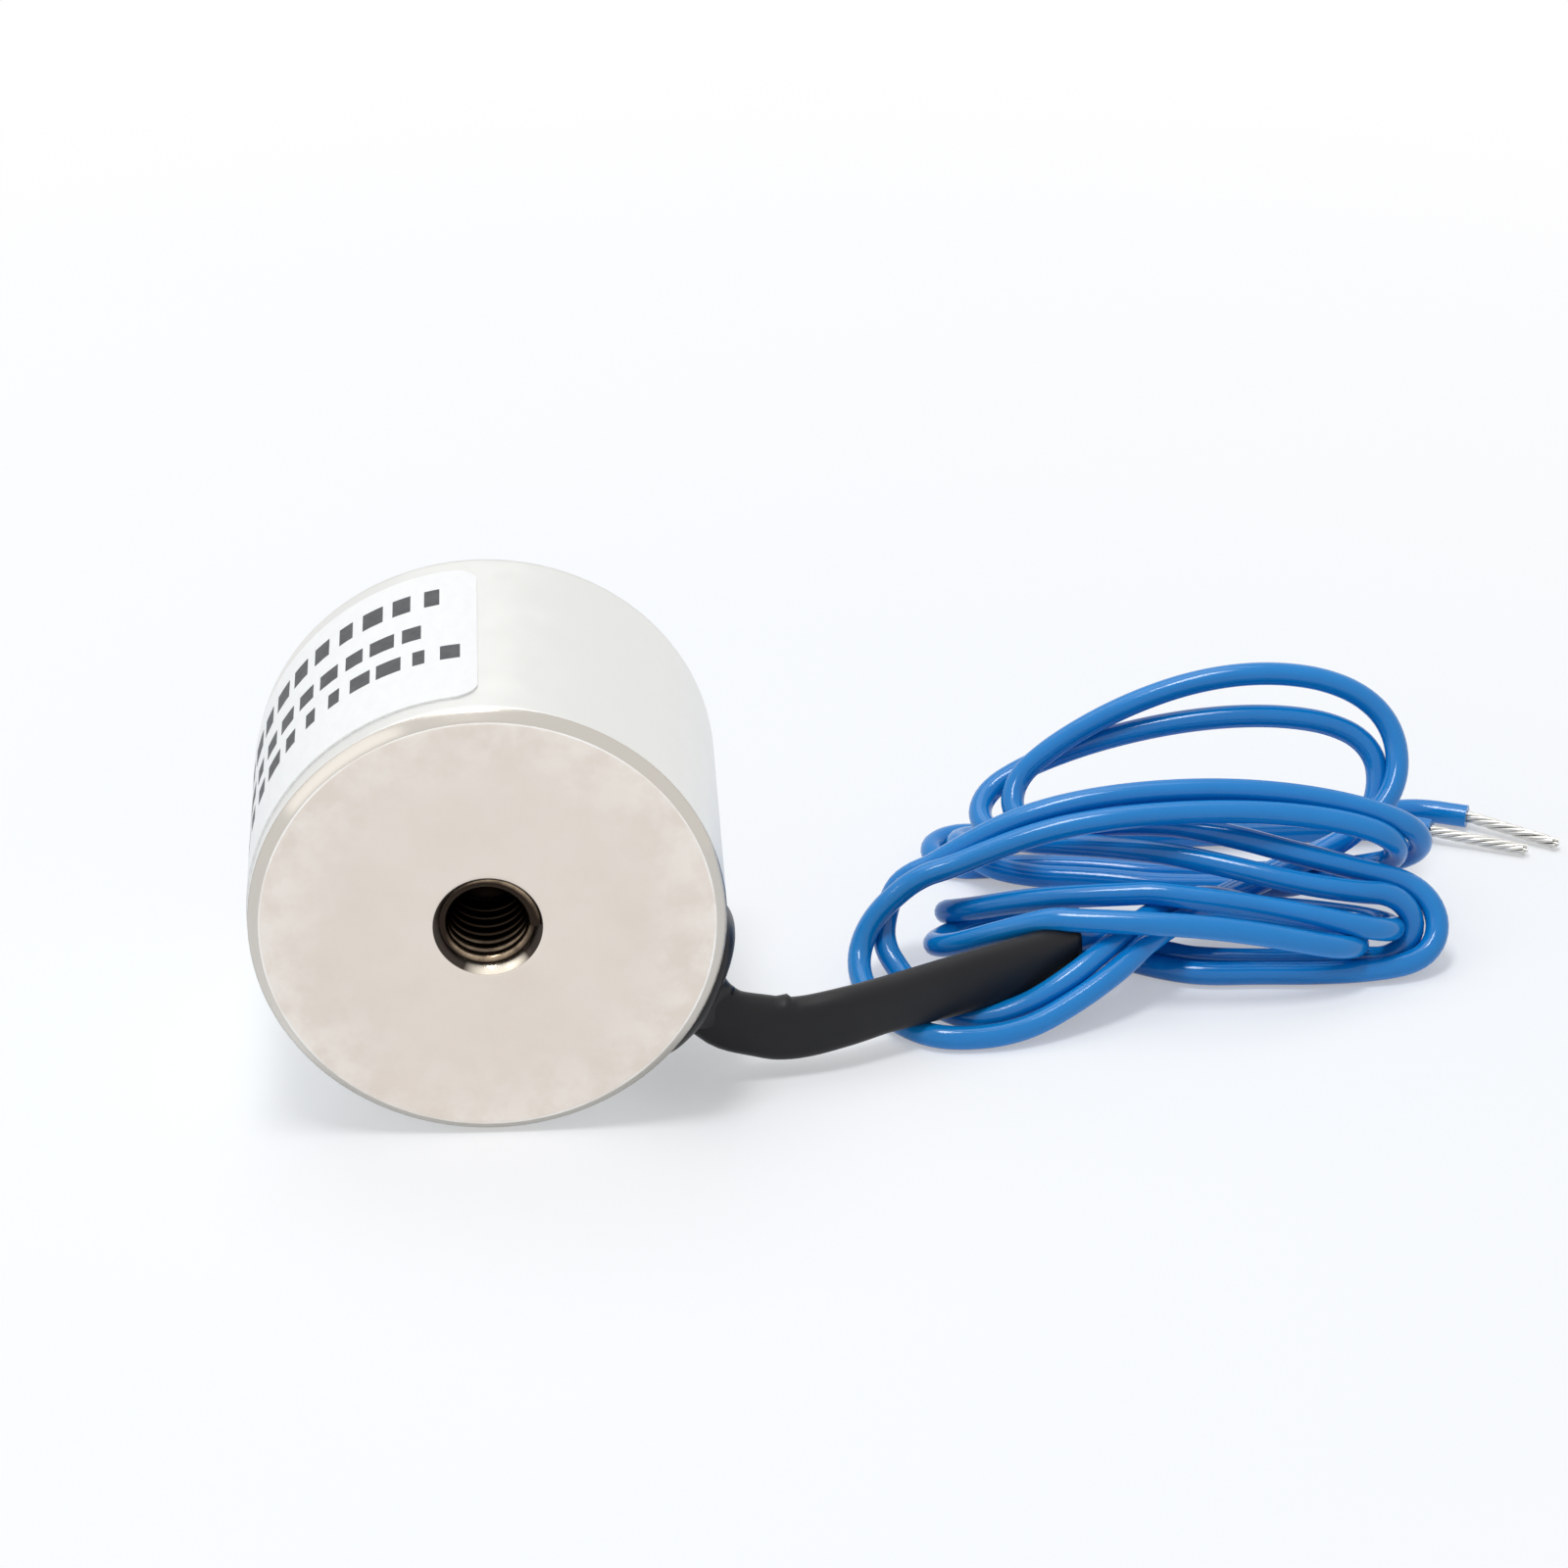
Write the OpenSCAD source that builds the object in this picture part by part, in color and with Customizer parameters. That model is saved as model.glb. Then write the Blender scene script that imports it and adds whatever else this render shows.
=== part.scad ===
// Cylindrical holding electromagnet with two flying leads, lying on its side.
// The pot's axis runs along Y: mounting face towards -Y, holding face towards +Y, floor at z = 0.

/* [Pot] */
// Outside diameter of the steel pot
body_d = 20; // [19:0.5:26]
// Length from mounting face to holding face
body_l = 15; // [14:0.5:22]
// Thickness of the base behind the mounting face
base_t = 2.5; // [2.2:0.1:3]
// Thickness of the wall around the winding
wall_t = 1.5; // [1.2:0.1:1.8]
// Width of the groove around the centre pole that holds the winding
groove_w = 4.5; // [4.2:0.1:5]
// Chamfer on the outer edges
edge_chamfer = 0.45; // [0.2:0.05:0.7]

/* [Mounting thread] */
// Major diameter of the tapped hole
thread_d = 4; // [3:0.5:5]
// Depth of the tapped hole
thread_l = 6; // [4:0.5:8]
// Diameter of the countersunk mouth
mouth_d = 4.6; // [4.4:0.1:6]
// Point angle of the drill that made the hole
drill_angle = 118; // [90:2:140]

/* [Winding] */
// Length of the bobbin along the pole
bobbin_l = 11.2; // [9:0.1:11.2]
// Thickness of the bobbin's tube
bobbin_t = 0.5; // [0.4:0.05:0.8]
// Thickness of the bobbin's flanges
flange_t = 0.5; // [0.4:0.05:0.7]
// Play of the bobbin on the pole and in the wall
bobbin_fit = 0.1; // [0.05:0.01:0.2]
// Width of the wire slot in the inner flange
slot_w = 1.2; // [0.8:0.1:1.6]
// Room left between the copper winding and the wall for tape and joints
winding_room = 1.5; // [1.2:0.1:2.5]
// Thickness of the tape around the winding
tape_t = 0.1; // [0.06:0.01:0.2]
// Recess of the resin below the holding face
resin_recess = 0.1; // [0.05:0.05:0.5]

/* [Leads] */
// Outside diameter of one insulated lead
lead_d = 1.05; // [0.9:0.05:1.2]
// Diameter of the bare tinned strands
strand_d = 0.55; // [0.4:0.05:0.7]
// Length of the stripped tip
strip_l = 4.6; // [3:0.1:8]
// Play between the two leads in the sleeve
lead_gap = 0.03; // [0.02:0.01:0.05]
// Wall of the shrunk sleeve
sleeve_t = 0.15; // [0.1:0.05:0.25]
// Play between the leads and the sleeve
sleeve_fit = 0.03; // [0.02:0.01:0.06]
// Distance of the lead hole from the mounting face
hole_y = 4.3; // [4.2:0.1:8]
// Angle of the lead hole below the horizontal
hole_angle = 34; // [20:1:45]
// Play of the sleeve in the lead hole
hole_fit = 0.05; // [0.03:0.01:0.1]
// Diameter of one solder joint
joint_d = 0.6; // [0.4:0.05:0.7]
// Arc that a solder joint covers around the winding
joint_arc = 24; // [12:1:60]
// Play between solder joint, tape and lead
joint_gap = 0.05; // [0.03:0.01:0.1]

/* [Exit seal] */
// Radius of the resin seal where it meets the pot
seal_r = 3.2; // [2.8:0.1:3.6]
// Height of the seal above the pot
seal_h = 1.8; // [1.2:0.1:2.2]
// Thickness of the resin round the sleeve at the top of the seal
seal_neck_t = 0.2; // [0.1:0.05:0.4]
// Thickness of the seal's edge
seal_lip = 0.08; // [0.05:0.01:0.2]

/* [Label] */
// Width of the label along the pot
label_w = 12; // [6:0.5:12.5]
// Length of the label around the pot
label_l = 25; // [15:0.5:26]
// Thickness of the label
label_t = 0.08; // [0.05:0.01:0.15]
// Radius of the label's corners
label_corner = 1.2; // [0.5:0.1:2]
// Angle above the horizontal where the label begins
label_start = 91; // [80:1:100]

/* [Coiled leads] */
// Half width of the hank's heap of turns
hank_r = 3.5; // [3:0.1:4]
// Height of the hank
hank_h = 7.6; // [6.8:0.1:9]
// Radius of the hank's arched top
hank_top_r = 4.2; // [4.1:0.1:6]
// Half width of the turn that lies on the floor
floor_turn_r = 3.6; // [3:0.1:3.6]
// Width of the raised turn between its legs
raised_turn_w = 20; // [18:0.5:21]
// Height of the raised turn above the floor turn
raised_turn_h = 9.4; // [8:0.1:11]
// Corner radius of the raised turn
raised_turn_r = 6; // [4:0.5:7]
// Width of the band of two strands side by side
band_w = 2.4; // [2.2:0.1:3]

/* [Hidden] */
$fn = 96;

// Overshoot of cutting solids, and of round cuts past the edges that they run out into
cut = 1;
run_out = 0.03;
// Sides of a lead and of the sleeve
lead_sides = 8;
sleeve_sides = 12;

// Radii about the pot's axis
body_r = body_d / 2;
chamber_r = body_r - wall_t;
pole_r = chamber_r - groove_w;
hub_r = pole_r + bobbin_fit + bobbin_t;
flange_r = chamber_r - bobbin_fit;
winding_r = chamber_r - winding_room;
tape_r = winding_r + tape_t;
joint_r = tape_r + joint_gap + joint_d / 2;
lead_end_r = joint_r + joint_d / 2 + joint_gap;

// Places along the pot's axis, from the mounting face
window_start = base_t + flange_t;
window_end = base_t + bobbin_l - flange_t;
resin_start = base_t + bobbin_l;
resin_end = body_l - resin_recess;

// Half sizes of the sleeve's oval section, around two leads one above the other
lead_lift = (lead_d + lead_gap) / 2;
sleeve_bore_h = lead_lift + lead_d / 2 + sleeve_fit;
sleeve_bore_w = lead_d / 2 + sleeve_fit;
sleeve_h = sleeve_bore_h + sleeve_t;
sleeve_w = sleeve_bore_w + sleeve_t;
hole_r = sleeve_h + hole_fit;
seal_neck_r = hole_r + seal_neck_t;

// The sleeve's straight stretch through wall and seal, from the pot's axis
sleeve_in = chamber_r - hole_fit;
sleeve_out = body_r + seal_h + sleeve_h / 2;

// Corner from which the leads' points are measured: the pot's side, its mounting face and the floor
corner = [body_r, -body_l / 2, 0];

// Route of the sleeve beyond its straight stretch, as it comes down and runs to its end
free_route = [[1.6, 4.4, 2.7], [3, 4.6, 2.4], [5, 5.1, 2.4], [7.2, 6.1, 2.4],
    [9.6, 7.25, 2.4], [12, 8.4, 2.4], [13.8, 9.2625, 2.4], [15.6, 10.125, 2.4]];
// First point of the last straight run of the route, inside the hank
run_start = 3;

// Centres of the hank's round ends, and of the floor turn's
hank_ends = [[8.8, 9.7, 0], [29, 13.5, 0]];
floor_turn_ends = [[12.7, 21.9, 0], [28.5, 21.3, 0]];
// Left leg and heading of the raised turn
raised_turn_foot = [10.4, 22, 0];
raised_turn_yaw = 1.5;
// Routes of the leads' ends after the coil, up to their stripped tips
tail_1_route = [[29.5, 25.4, 0.6], [31.4, 25.8, 0.6], [33.3, 25.9, 0.6], [35.4, 25.2, 0.6]];
tail_2_route = [[31.6, 24.2, 0.6], [32.5, 24.3, 0.6], [33.5, 23.9, 0.6]];

// Points in the part's frame
function placed(points) = [for (p = points) corner + p];
function on_exit(s) = [s * cos(hole_angle), hole_y - body_l / 2, body_r - s * sin(hole_angle)];
sleeve_route = concat([for (s = [sleeve_in, body_r, sleeve_out - sleeve_w, sleeve_out]) on_exit(s)],
    placed(free_route));
lead_route = concat([on_exit(lead_end_r)], sleeve_route);

// Sweep of a section along a route, with the section's second axis upright
function unit(v) = v / norm(v);
function heading(points, i) =
    unit(points[min(i + 1, len(points) - 1)] - points[max(i - 1, 0)]);
function sideways(t) = unit(cross(t, [0, 0, 1]));
function ring(points, i, section) =
    let (t = heading(points, i), s = sideways(t), u = cross(s, t))
    [for (q = section) points[i] + q[0] * s + q[1] * u];
function rings(points, section) =
    [for (i = [0 : len(points) - 1]) each ring(points, i, section)];
function walls(count, n, first = 0) =
    [for (i = [0 : count - 2], j = [0 : n - 1])
        let (k = (j + 1) % n, a = first + i * n)
        [a + j, a + n + j, a + n + k, a + k]];
function turned_over(faces) = [for (f = faces) [f[3], f[2], f[1], f[0]]];
function end_rings(n, a, b) =
    [for (j = [0 : n - 1]) let (k = (j + 1) % n) [a + j, a + k, b + k, b + j]];
function round_section(d, n, lift) =
    [for (j = [0 : n - 1]) let (a = (j + 0.5) * 360 / n)
        [d / 2 * cos(a), lift + d / 2 * sin(a)]];
function oval_section(h, w, n) =
    [for (j = [0 : n - 1]) let (a = (j + 0.5) * 360 / n)
        [w * cos(a), sign(sin(a)) * (h - w) + w * sin(a)]];

// Solid tube along a route
module tube(points, section) {
    n = len(section);
    last = n * (len(points) - 1);
    polyhedron(rings(points, section), concat(walls(len(points), n),
        [[for (j = [0 : n - 1]) j]], [[for (j = [n - 1 : -1 : 0]) last + j]]));
}

// Hollow tube along a route
module pipe(points, outer, inner) {
    n = len(outer);
    count = len(points);
    inside = n * count;
    last = n * (count - 1);
    polyhedron(concat(rings(points, outer), rings(points, inner)), concat(
        walls(count, n), turned_over(walls(count, n, inside)),
        end_rings(n, 0, inside), turned_over(end_rings(n, last, inside + last))));
}

// Local Z becomes the pot's axis, starting at the mounting face
module on_axis() {
    translate([0, -body_l / 2, body_r]) rotate([-90, 0, 0]) children();
}

// Local Z becomes the lead hole's axis, starting at the pot's axis, with local Y upright
module on_hole() {
    translate(on_exit(0)) rotate([0, 90 + hole_angle, 0]) rotate([0, 0, 90]) children();
}

module washer(r_in, r_out, start, end) {
    translate([0, 0, start]) rotate_extrude()
        translate([r_in, 0]) square([r_out - r_in, end - start]);
}

// Oval with its long side along Y, from its half sizes
module oval(h, w) {
    square([2 * w, 2 * (h - w)], center = true);
    for (side = [-1, 1])
        translate([0, side * (h - w)]) circle(w);
}

// Turned pot: base, wall and pole in one piece, with a tapped blind hole and the lead hole
module pot_body() {
    color("lightgray") difference() {
        on_axis() rotate_extrude() polygon([
            [0, 0], [body_r - edge_chamfer, 0], [body_r, edge_chamfer],
            [body_r, body_l - edge_chamfer], [body_r - edge_chamfer, body_l],
            [chamber_r, body_l], [chamber_r, base_t], [pole_r, base_t],
            [pole_r, body_l], [0, body_l]]);
        on_axis() rotate_extrude() tapped_hole_outline();
        on_hole() translate([0, 0, (chamber_r + pole_r) / 2])
            cylinder(r = hole_r, h = body_r);
    }
}

// Half section of the countersink, the thread's bore and the drill point
module tapped_hole_outline() {
    sink = (mouth_d - thread_d) / 2;
    point_l = thread_d / 2 / tan(drill_angle / 2);
    polygon([[0, -cut], [mouth_d / 2 + cut, -cut], [thread_d / 2, sink],
        [thread_d / 2, thread_l], [0, thread_l + point_l]]);
}

// Moulded spool on the pole, with a slot for the winding's inner end
module coil_bobbin() {
    color("ivory") difference() {
        on_axis() {
            washer(pole_r + bobbin_fit, hub_r, base_t, resin_start);
            washer(pole_r + bobbin_fit, flange_r, base_t, window_start);
            washer(pole_r + bobbin_fit, flange_r, window_end, resin_start);
        }
        on_axis() rotate([0, 0, hole_angle]) translate([hub_r, -slot_w / 2, base_t - cut])
            cube([body_r, slot_w, cut + flange_t]);
    }
}

module copper_winding() {
    color("peru") on_axis() washer(hub_r, winding_r, window_start, window_end);
}

module winding_tape() {
    color("khaki") on_axis() washer(winding_r, tape_r, window_start, window_end);
}

// Solder joint that follows the winding from the lead's inner end, upwards or downwards
module solder_joint(side) {
    start = asin(lead_gap / joint_r) * side;
    color("silver") on_axis() translate([0, 0, hole_y])
        rotate([0, 0, hole_angle - start - (side > 0 ? joint_arc : 0)])
            rotate_extrude(angle = joint_arc) translate([joint_r, 0]) circle(d = joint_d);
}

module solder_joint_1() {
    solder_joint(1);
}

module solder_joint_2() {
    solder_joint(-1);
}

// Ring of cast resin that closes the winding's chamber at the holding face
module casting_resin() {
    color([0.1, 0.1, 0.11]) on_axis() washer(pole_r, chamber_r, resin_start, resin_end);
}

// Resin that fills the lead hole and flares out over the pot around the sleeve
module exit_seal() {
    color([0.13, 0.13, 0.14]) difference() {
        union() {
            difference() {
                on_hole() rotate_extrude() seal_outline();
                on_axis() translate([0, 0, -cut]) cylinder(r = body_r, h = body_l + 2 * cut);
            }
            on_hole() translate([0, 0, chamber_r])
                cylinder(r = hole_r, h = wall_t + seal_lip);
        }
        on_hole() linear_extrude(body_r + seal_h + cut)
            oval(sleeve_h + sleeve_fit, sleeve_w + sleeve_fit);
    }
}

// Half section of the flare: a hollow curve from its edge up to its neck
module seal_outline() {
    steps = 12;
    flare_w = seal_r - seal_neck_r;
    flare_h = seal_h - seal_lip;
    polygon(concat([[0, chamber_r], [seal_r, chamber_r]],
        [for (i = [0 : steps]) let (a = 90 * i / steps)
            [seal_r - flare_w * sin(a), body_r + seal_h - flare_h * cos(a)]],
        [[0, body_r + seal_h]]));
}

// Shrunk sleeve over both leads
module lead_sleeve() {
    color([0.12, 0.12, 0.13]) pipe(sleeve_route,
        oval_section(sleeve_h, sleeve_w, sleeve_sides),
        oval_section(sleeve_bore_h, sleeve_bore_w, sleeve_sides));
}

module lead(lift) {
    color("steelblue") tube(lead_route, round_section(lead_d, lead_sides, lift));
}

module lead_1() {
    lead(lead_lift);
}

module lead_2() {
    lead(-lead_lift);
}

// Block with round ends and an arched top that the heap of turns fills,
// with a channel for the end of the sleeve
module lead_hank() {
    ends = placed(hank_ends);
    run = ends[1] - ends[0];
    channel = placed(free_route);
    channel_end = channel[len(channel) - 1];
    channel_run = channel_end - channel[run_start];
    color("steelblue") difference() {
        intersection() {
            linear_extrude(hank_h + cut) stadium(ends[0], ends[1], hank_r);
            translate(ends[0]) rotate([90, 0, 90 + atan2(run[1], run[0])])
                translate([0, hank_h - hank_top_r, -hank_r - cut])
                    linear_extrude(norm(run) + 2 * (hank_r + cut)) {
                        circle(hank_top_r);
                        translate([-hank_top_r, -hank_h]) square([2 * hank_top_r, hank_h]);
                    }
        }
        translate(channel_end) rotate([0, -90, atan2(channel_run[1], channel_run[0])])
            cylinder(r = sleeve_h + hole_fit, h = 2 * norm(channel_run));
    }
}

// Flat band with round ends: the last turn, lying on the floor behind the hank
module floor_turn() {
    ends = placed(floor_turn_ends);
    color("steelblue") linear_extrude(lead_d) difference() {
        stadium(ends[0], ends[1], floor_turn_r);
        stadium(ends[0], ends[1], floor_turn_r - band_w);
    }
}

// Flat outline with round ends
module stadium(a, b, r) {
    run = b - a;
    translate([a[0], a[1]]) rotate(atan2(run[1], run[0])) {
        circle(r);
        translate([norm(run), 0]) circle(r);
        translate([0, -r]) square([norm(run), 2 * r]);
    }
}

// Arched band of two strands, standing on the floor turn
module raised_turn() {
    color("steelblue") translate(corner + raised_turn_foot + [0, 0, lead_d])
        rotate([90, 0, raised_turn_yaw]) linear_extrude(lead_d, center = true) difference() {
            arch(raised_turn_w, raised_turn_h, raised_turn_r);
            translate([band_w, 0])
                arch(raised_turn_w - 2 * band_w, raised_turn_h - band_w, raised_turn_r - band_w);
        }
}

// Upright outline with rounded top corners
module arch(w, h, r) {
    intersection() {
        square([w, h]);
        union() {
            square([w, h - r]);
            translate([r, 0]) square([w - 2 * r, h]);
            for (x = [r, w - r])
                translate([x, h - r]) circle(r);
        }
    }
}

module tail(route) {
    color("steelblue") tube(placed(route), round_section(lead_d, lead_sides, 0));
}

module lead_1_tail() {
    tail(tail_1_route);
}

module lead_2_tail() {
    tail(tail_2_route);
}

// Stripped and tinned strands, straight on from a lead's end
module tip(route) {
    last = len(route) - 1;
    t = heading(route, last);
    color("gainsboro") translate(corner + route[last])
        rotate([0, 90, atan2(t[1], t[0])]) cylinder(d = strand_d, h = strip_l);
}

module lead_1_tip() {
    tip(tail_1_route);
}

module lead_2_tip() {
    tip(tail_2_route);
}

// Paper label with round corners, wrapped around the pot's upper side
module paper_label() {
    arc = label_l / body_r * 180 / PI;
    corner_arc = label_corner / body_r * 180 / PI;
    start = (body_l - label_w) / 2;
    color("white") on_axis() rotate([0, 0, -label_start]) difference() {
        rotate([0, 0, -arc]) translate([0, 0, start])
            rotate_extrude(angle = arc) translate([body_r, 0]) square([label_t, label_w]);
        for (along = [-1, 1], around = [-1, 1])
            rotate([0, 0, -arc / 2 + around * (arc / 2 - corner_arc)])
                translate([0, 0, body_l / 2 + along * (label_w / 2 - label_corner)])
                    rotate([90, 0, 90]) linear_extrude(body_d) corner_waste(around, along);
    }
}

// What is cut from one corner of the label to leave it round
module corner_waste(x, y) {
    waste = label_corner + cut / 2;
    difference() {
        translate([x * waste / 2, y * waste / 2]) square(waste, center = true);
        circle(label_corner + run_out);
    }
}

pot_body();
coil_bobbin();
copper_winding();
winding_tape();
solder_joint_1();
solder_joint_2();
casting_resin();
exit_seal();
lead_sleeve();
lead_1();
lead_2();
lead_hank();
raised_turn();
floor_turn();
lead_1_tail();
lead_2_tail();
lead_1_tip();
lead_2_tip();
paper_label();
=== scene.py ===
"""Looks of a cylindrical holding electromagnet with two coiled flying leads.

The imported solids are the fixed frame. Lengths are metres, and sizes are written as
millimetres times MM. Places along the leads are millimetres from the corner where the
pot's side, its mounting face and the floor meet, as in the part's source.
"""
import logging
import math
from dataclasses import dataclass, field
from enum import Enum
from functools import cache

import bpy
import numpy as np
from mathutils import Euler, Matrix, Vector


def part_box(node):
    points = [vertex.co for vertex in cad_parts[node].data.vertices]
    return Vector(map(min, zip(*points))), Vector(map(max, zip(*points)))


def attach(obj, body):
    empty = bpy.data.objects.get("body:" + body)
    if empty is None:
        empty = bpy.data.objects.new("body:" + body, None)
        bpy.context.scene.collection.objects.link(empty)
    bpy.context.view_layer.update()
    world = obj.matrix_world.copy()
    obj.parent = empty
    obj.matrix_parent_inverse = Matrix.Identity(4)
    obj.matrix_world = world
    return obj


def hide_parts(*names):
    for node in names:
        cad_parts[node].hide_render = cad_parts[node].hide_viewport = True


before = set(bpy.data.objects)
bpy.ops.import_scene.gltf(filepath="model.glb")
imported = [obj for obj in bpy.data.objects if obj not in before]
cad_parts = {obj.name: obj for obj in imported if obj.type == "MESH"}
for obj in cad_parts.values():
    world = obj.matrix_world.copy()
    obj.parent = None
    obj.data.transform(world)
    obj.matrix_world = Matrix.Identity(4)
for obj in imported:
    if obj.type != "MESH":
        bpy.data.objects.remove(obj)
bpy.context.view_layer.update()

MM = 0.001
ROOT = "root"
CURVE_STEPS = 8
TINY = 1e-9
WHITE = (1.0, 1.0, 1.0)
EVEN = (1.0, 1.0, 1.0)

Point = tuple[float, float, float]
Colour = tuple[float, float, float]
Range = tuple[float, float]
Socket = bpy.types.NodeSocket
Sockets = bpy.types.bpy_prop_collection
Material = bpy.types.Material
NodeTree = bpy.types.NodeTree
Object = bpy.types.Object

logging.basicConfig(level=logging.INFO, format="%(message)s")
log = logging.getLogger("magnet")


class Slot(Enum):
    """Names of the record's material slots."""

    STEEL = "plated_steel"
    RESIN = "black_resin"
    SLEEVE = "black_sleeve"
    INSULATION = "blue_insulation"
    STRANDS = "tinned_strands"
    PAPER = "white_paper"


class Side(Enum):
    """Place of a lead in the sleeve: above or below its middle."""

    UPPER = 1
    LOWER = -1


# Node trees


class Tree:
    """Adds and links the nodes of one shader or geometry tree."""

    def __init__(self, tree: NodeTree) -> None:
        """Keeps the tree that takes the nodes."""
        self.tree = tree

    def add(self, kind: str, inputs: dict | None = None, **settings: object) -> bpy.types.Node:
        """Adds one node.

        Args:
            kind: The node's type name.
            inputs: Values or output sockets for its inputs, by name or index.
            settings: The node's own properties.

        Returns:
            The new node.
        """
        node = self.tree.nodes.new(kind)
        for name, value in settings.items():
            setattr(node, name, value)
        for key, value in (inputs or {}).items():
            self.feed(value, node.inputs[key])
        return node

    def feed(self, value: object, socket: Socket) -> None:
        """Links a node's first output or an output to an input, or sets the input's value.

        Args:
            value: The node, the output socket or the plain value.
            socket: The input.
        """
        if isinstance(value, bpy.types.Node):
            value = value.outputs[0]
        if isinstance(value, Socket):
            self.tree.links.new(value, socket)
        else:
            socket.default_value = value

    def math(self, operation: str, *values: object) -> Socket:
        """Adds a Math node on numbers or sockets and returns its result."""
        node = self.add("ShaderNodeMath", dict(enumerate(values)), operation=operation)
        return node.outputs[0]

    def split(self, vector: object) -> Sockets:
        """Adds a Separate XYZ node and returns its outputs."""
        return self.add("ShaderNodeSeparateXYZ", {0: vector}).outputs

    def join(self, **parts: object) -> Socket:
        """Adds a Combine XYZ node and returns its vector."""
        return self.add("ShaderNodeCombineXYZ", parts).outputs[0]

    def remap(self, value: object, low: object, high: object,
              to_low: float = 0.0, to_high: float = 1.0) -> Socket:
        """Adds a clamped Map Range node that takes low to to_low and high to to_high."""
        numbers = {"Value": value, "From Min": low, "From Max": high,
                   "To Min": to_low, "To Max": to_high}
        return self.add("ShaderNodeMapRange", numbers).outputs["Result"]

    def mix(self, factor: object, first: object, second: object) -> Socket:
        """Adds a colour Mix node.

        Args:
            factor: Share of the second colour.
            first: Colour or socket.
            second: Colour or socket.

        Returns:
            The result's socket.
        """
        node = self.add("ShaderNodeMix", {"Factor": factor}, data_type="RGBA")
        colours = (s for s in node.inputs if s.type == "RGBA")
        for socket, value in zip(colours, (first, second)):
            self.feed(value if isinstance(value, Socket) else (*value, 1.0), socket)
        return next(s for s in node.outputs if s.type == "RGBA")


def open_group(name: str, kind: str, inputs: dict[str, object],
               output: tuple[str, str]) -> tuple[Tree, Sockets, Socket]:
    """Makes a node group with named inputs and one output.

    Args:
        name: The group's name.
        kind: ShaderNodeTree or GeometryNodeTree.
        inputs: Default values by name; a string is a socket type without a default.
        output: The output's name and socket type.

    Returns:
        The tree, the outputs of its input node and the input of its output node.
    """
    group = bpy.data.node_groups.new(name, kind)
    types = {float: "NodeSocketFloat", int: "NodeSocketInt", tuple: "NodeSocketVector"}
    for label, value in inputs.items():
        plain = isinstance(value, str)
        socket_type = value if plain else types[type(value)]
        socket = group.interface.new_socket(name=label, in_out="INPUT", socket_type=socket_type)
        if not plain:
            socket.default_value = value
    group.interface.new_socket(name=output[0], in_out="OUTPUT", socket_type=output[1])
    tree = Tree(group)
    return tree, tree.add("NodeGroupInput").outputs, tree.add("NodeGroupOutput").inputs[0]


@dataclass(frozen=True)
class Noise:
    """Noise of a mask: scale per metre, half width of its soft edge, stretch along X, Y, Z."""

    scale: float
    contrast: float
    stretch: Point = EVEN


@dataclass(frozen=True)
class Unevenness:
    """Noise of a fine relief: scale per metre, share, depth and stretch along X, Y, Z."""

    scale: float
    strength: float
    height: float
    stretch: Point = EVEN


class Effects:
    """Shader groups that several finishes share, each made on its first call."""

    @staticmethod
    @cache
    def mottle() -> NodeTree:
        """Makes a soft cloudy mask.

        Returns:
            The group.
        """
        tree, given, result, noise = Effects._noise(
            "soft_mottle", {"Scale": 400.0, "Contrast": 0.2}, ("Mask", "NodeSocketFloat"),
            {"Detail": 4.0, "Roughness": 0.6})
        low = tree.math("SUBTRACT", 0.5, given["Contrast"])
        high = tree.math("ADD", 0.5, given["Contrast"])
        tree.feed(tree.remap(noise, low, high), result)
        return tree.tree

    @staticmethod
    @cache
    def relief() -> NodeTree:
        """Makes a fine uneven normal.

        Returns:
            The group.
        """
        tree, given, result, noise = Effects._noise(
            "fine_relief", {"Scale": 2000.0, "Strength": 0.2, "Height": 0.02 * MM},
            ("Normal", "NodeSocketVector"), {"Detail": 3.0})
        bump = {"Strength": given["Strength"], "Distance": given["Height"], "Height": noise}
        tree.feed(tree.add("ShaderNodeBump", bump), result)
        return tree.tree

    @staticmethod
    def _noise(name: str, inputs: dict[str, object], output: tuple[str, str],
               detail: dict[str, float]) -> tuple[Tree, Sockets, Socket, bpy.types.Node]:
        """Opens a shader group with stretched noise in it.

        Args:
            name: The group's name.
            inputs: Its inputs after Vector and Stretch.
            output: Its output's name and socket type.
            detail: Further values of the noise.

        Returns:
            The tree, its inputs, its output and the noise.
        """
        every = {"Vector": "NodeSocketVector", "Stretch": EVEN, **inputs}
        tree, given, result = open_group(name, "ShaderNodeTree", every, output)
        stretched = tree.add("ShaderNodeVectorMath", {0: given["Vector"], 1: given["Stretch"]},
                             operation="MULTIPLY")
        noise = {"Vector": stretched, "Scale": given["Scale"], **detail}
        return tree, given, result, tree.add("ShaderNodeTexNoise", noise)


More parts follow.
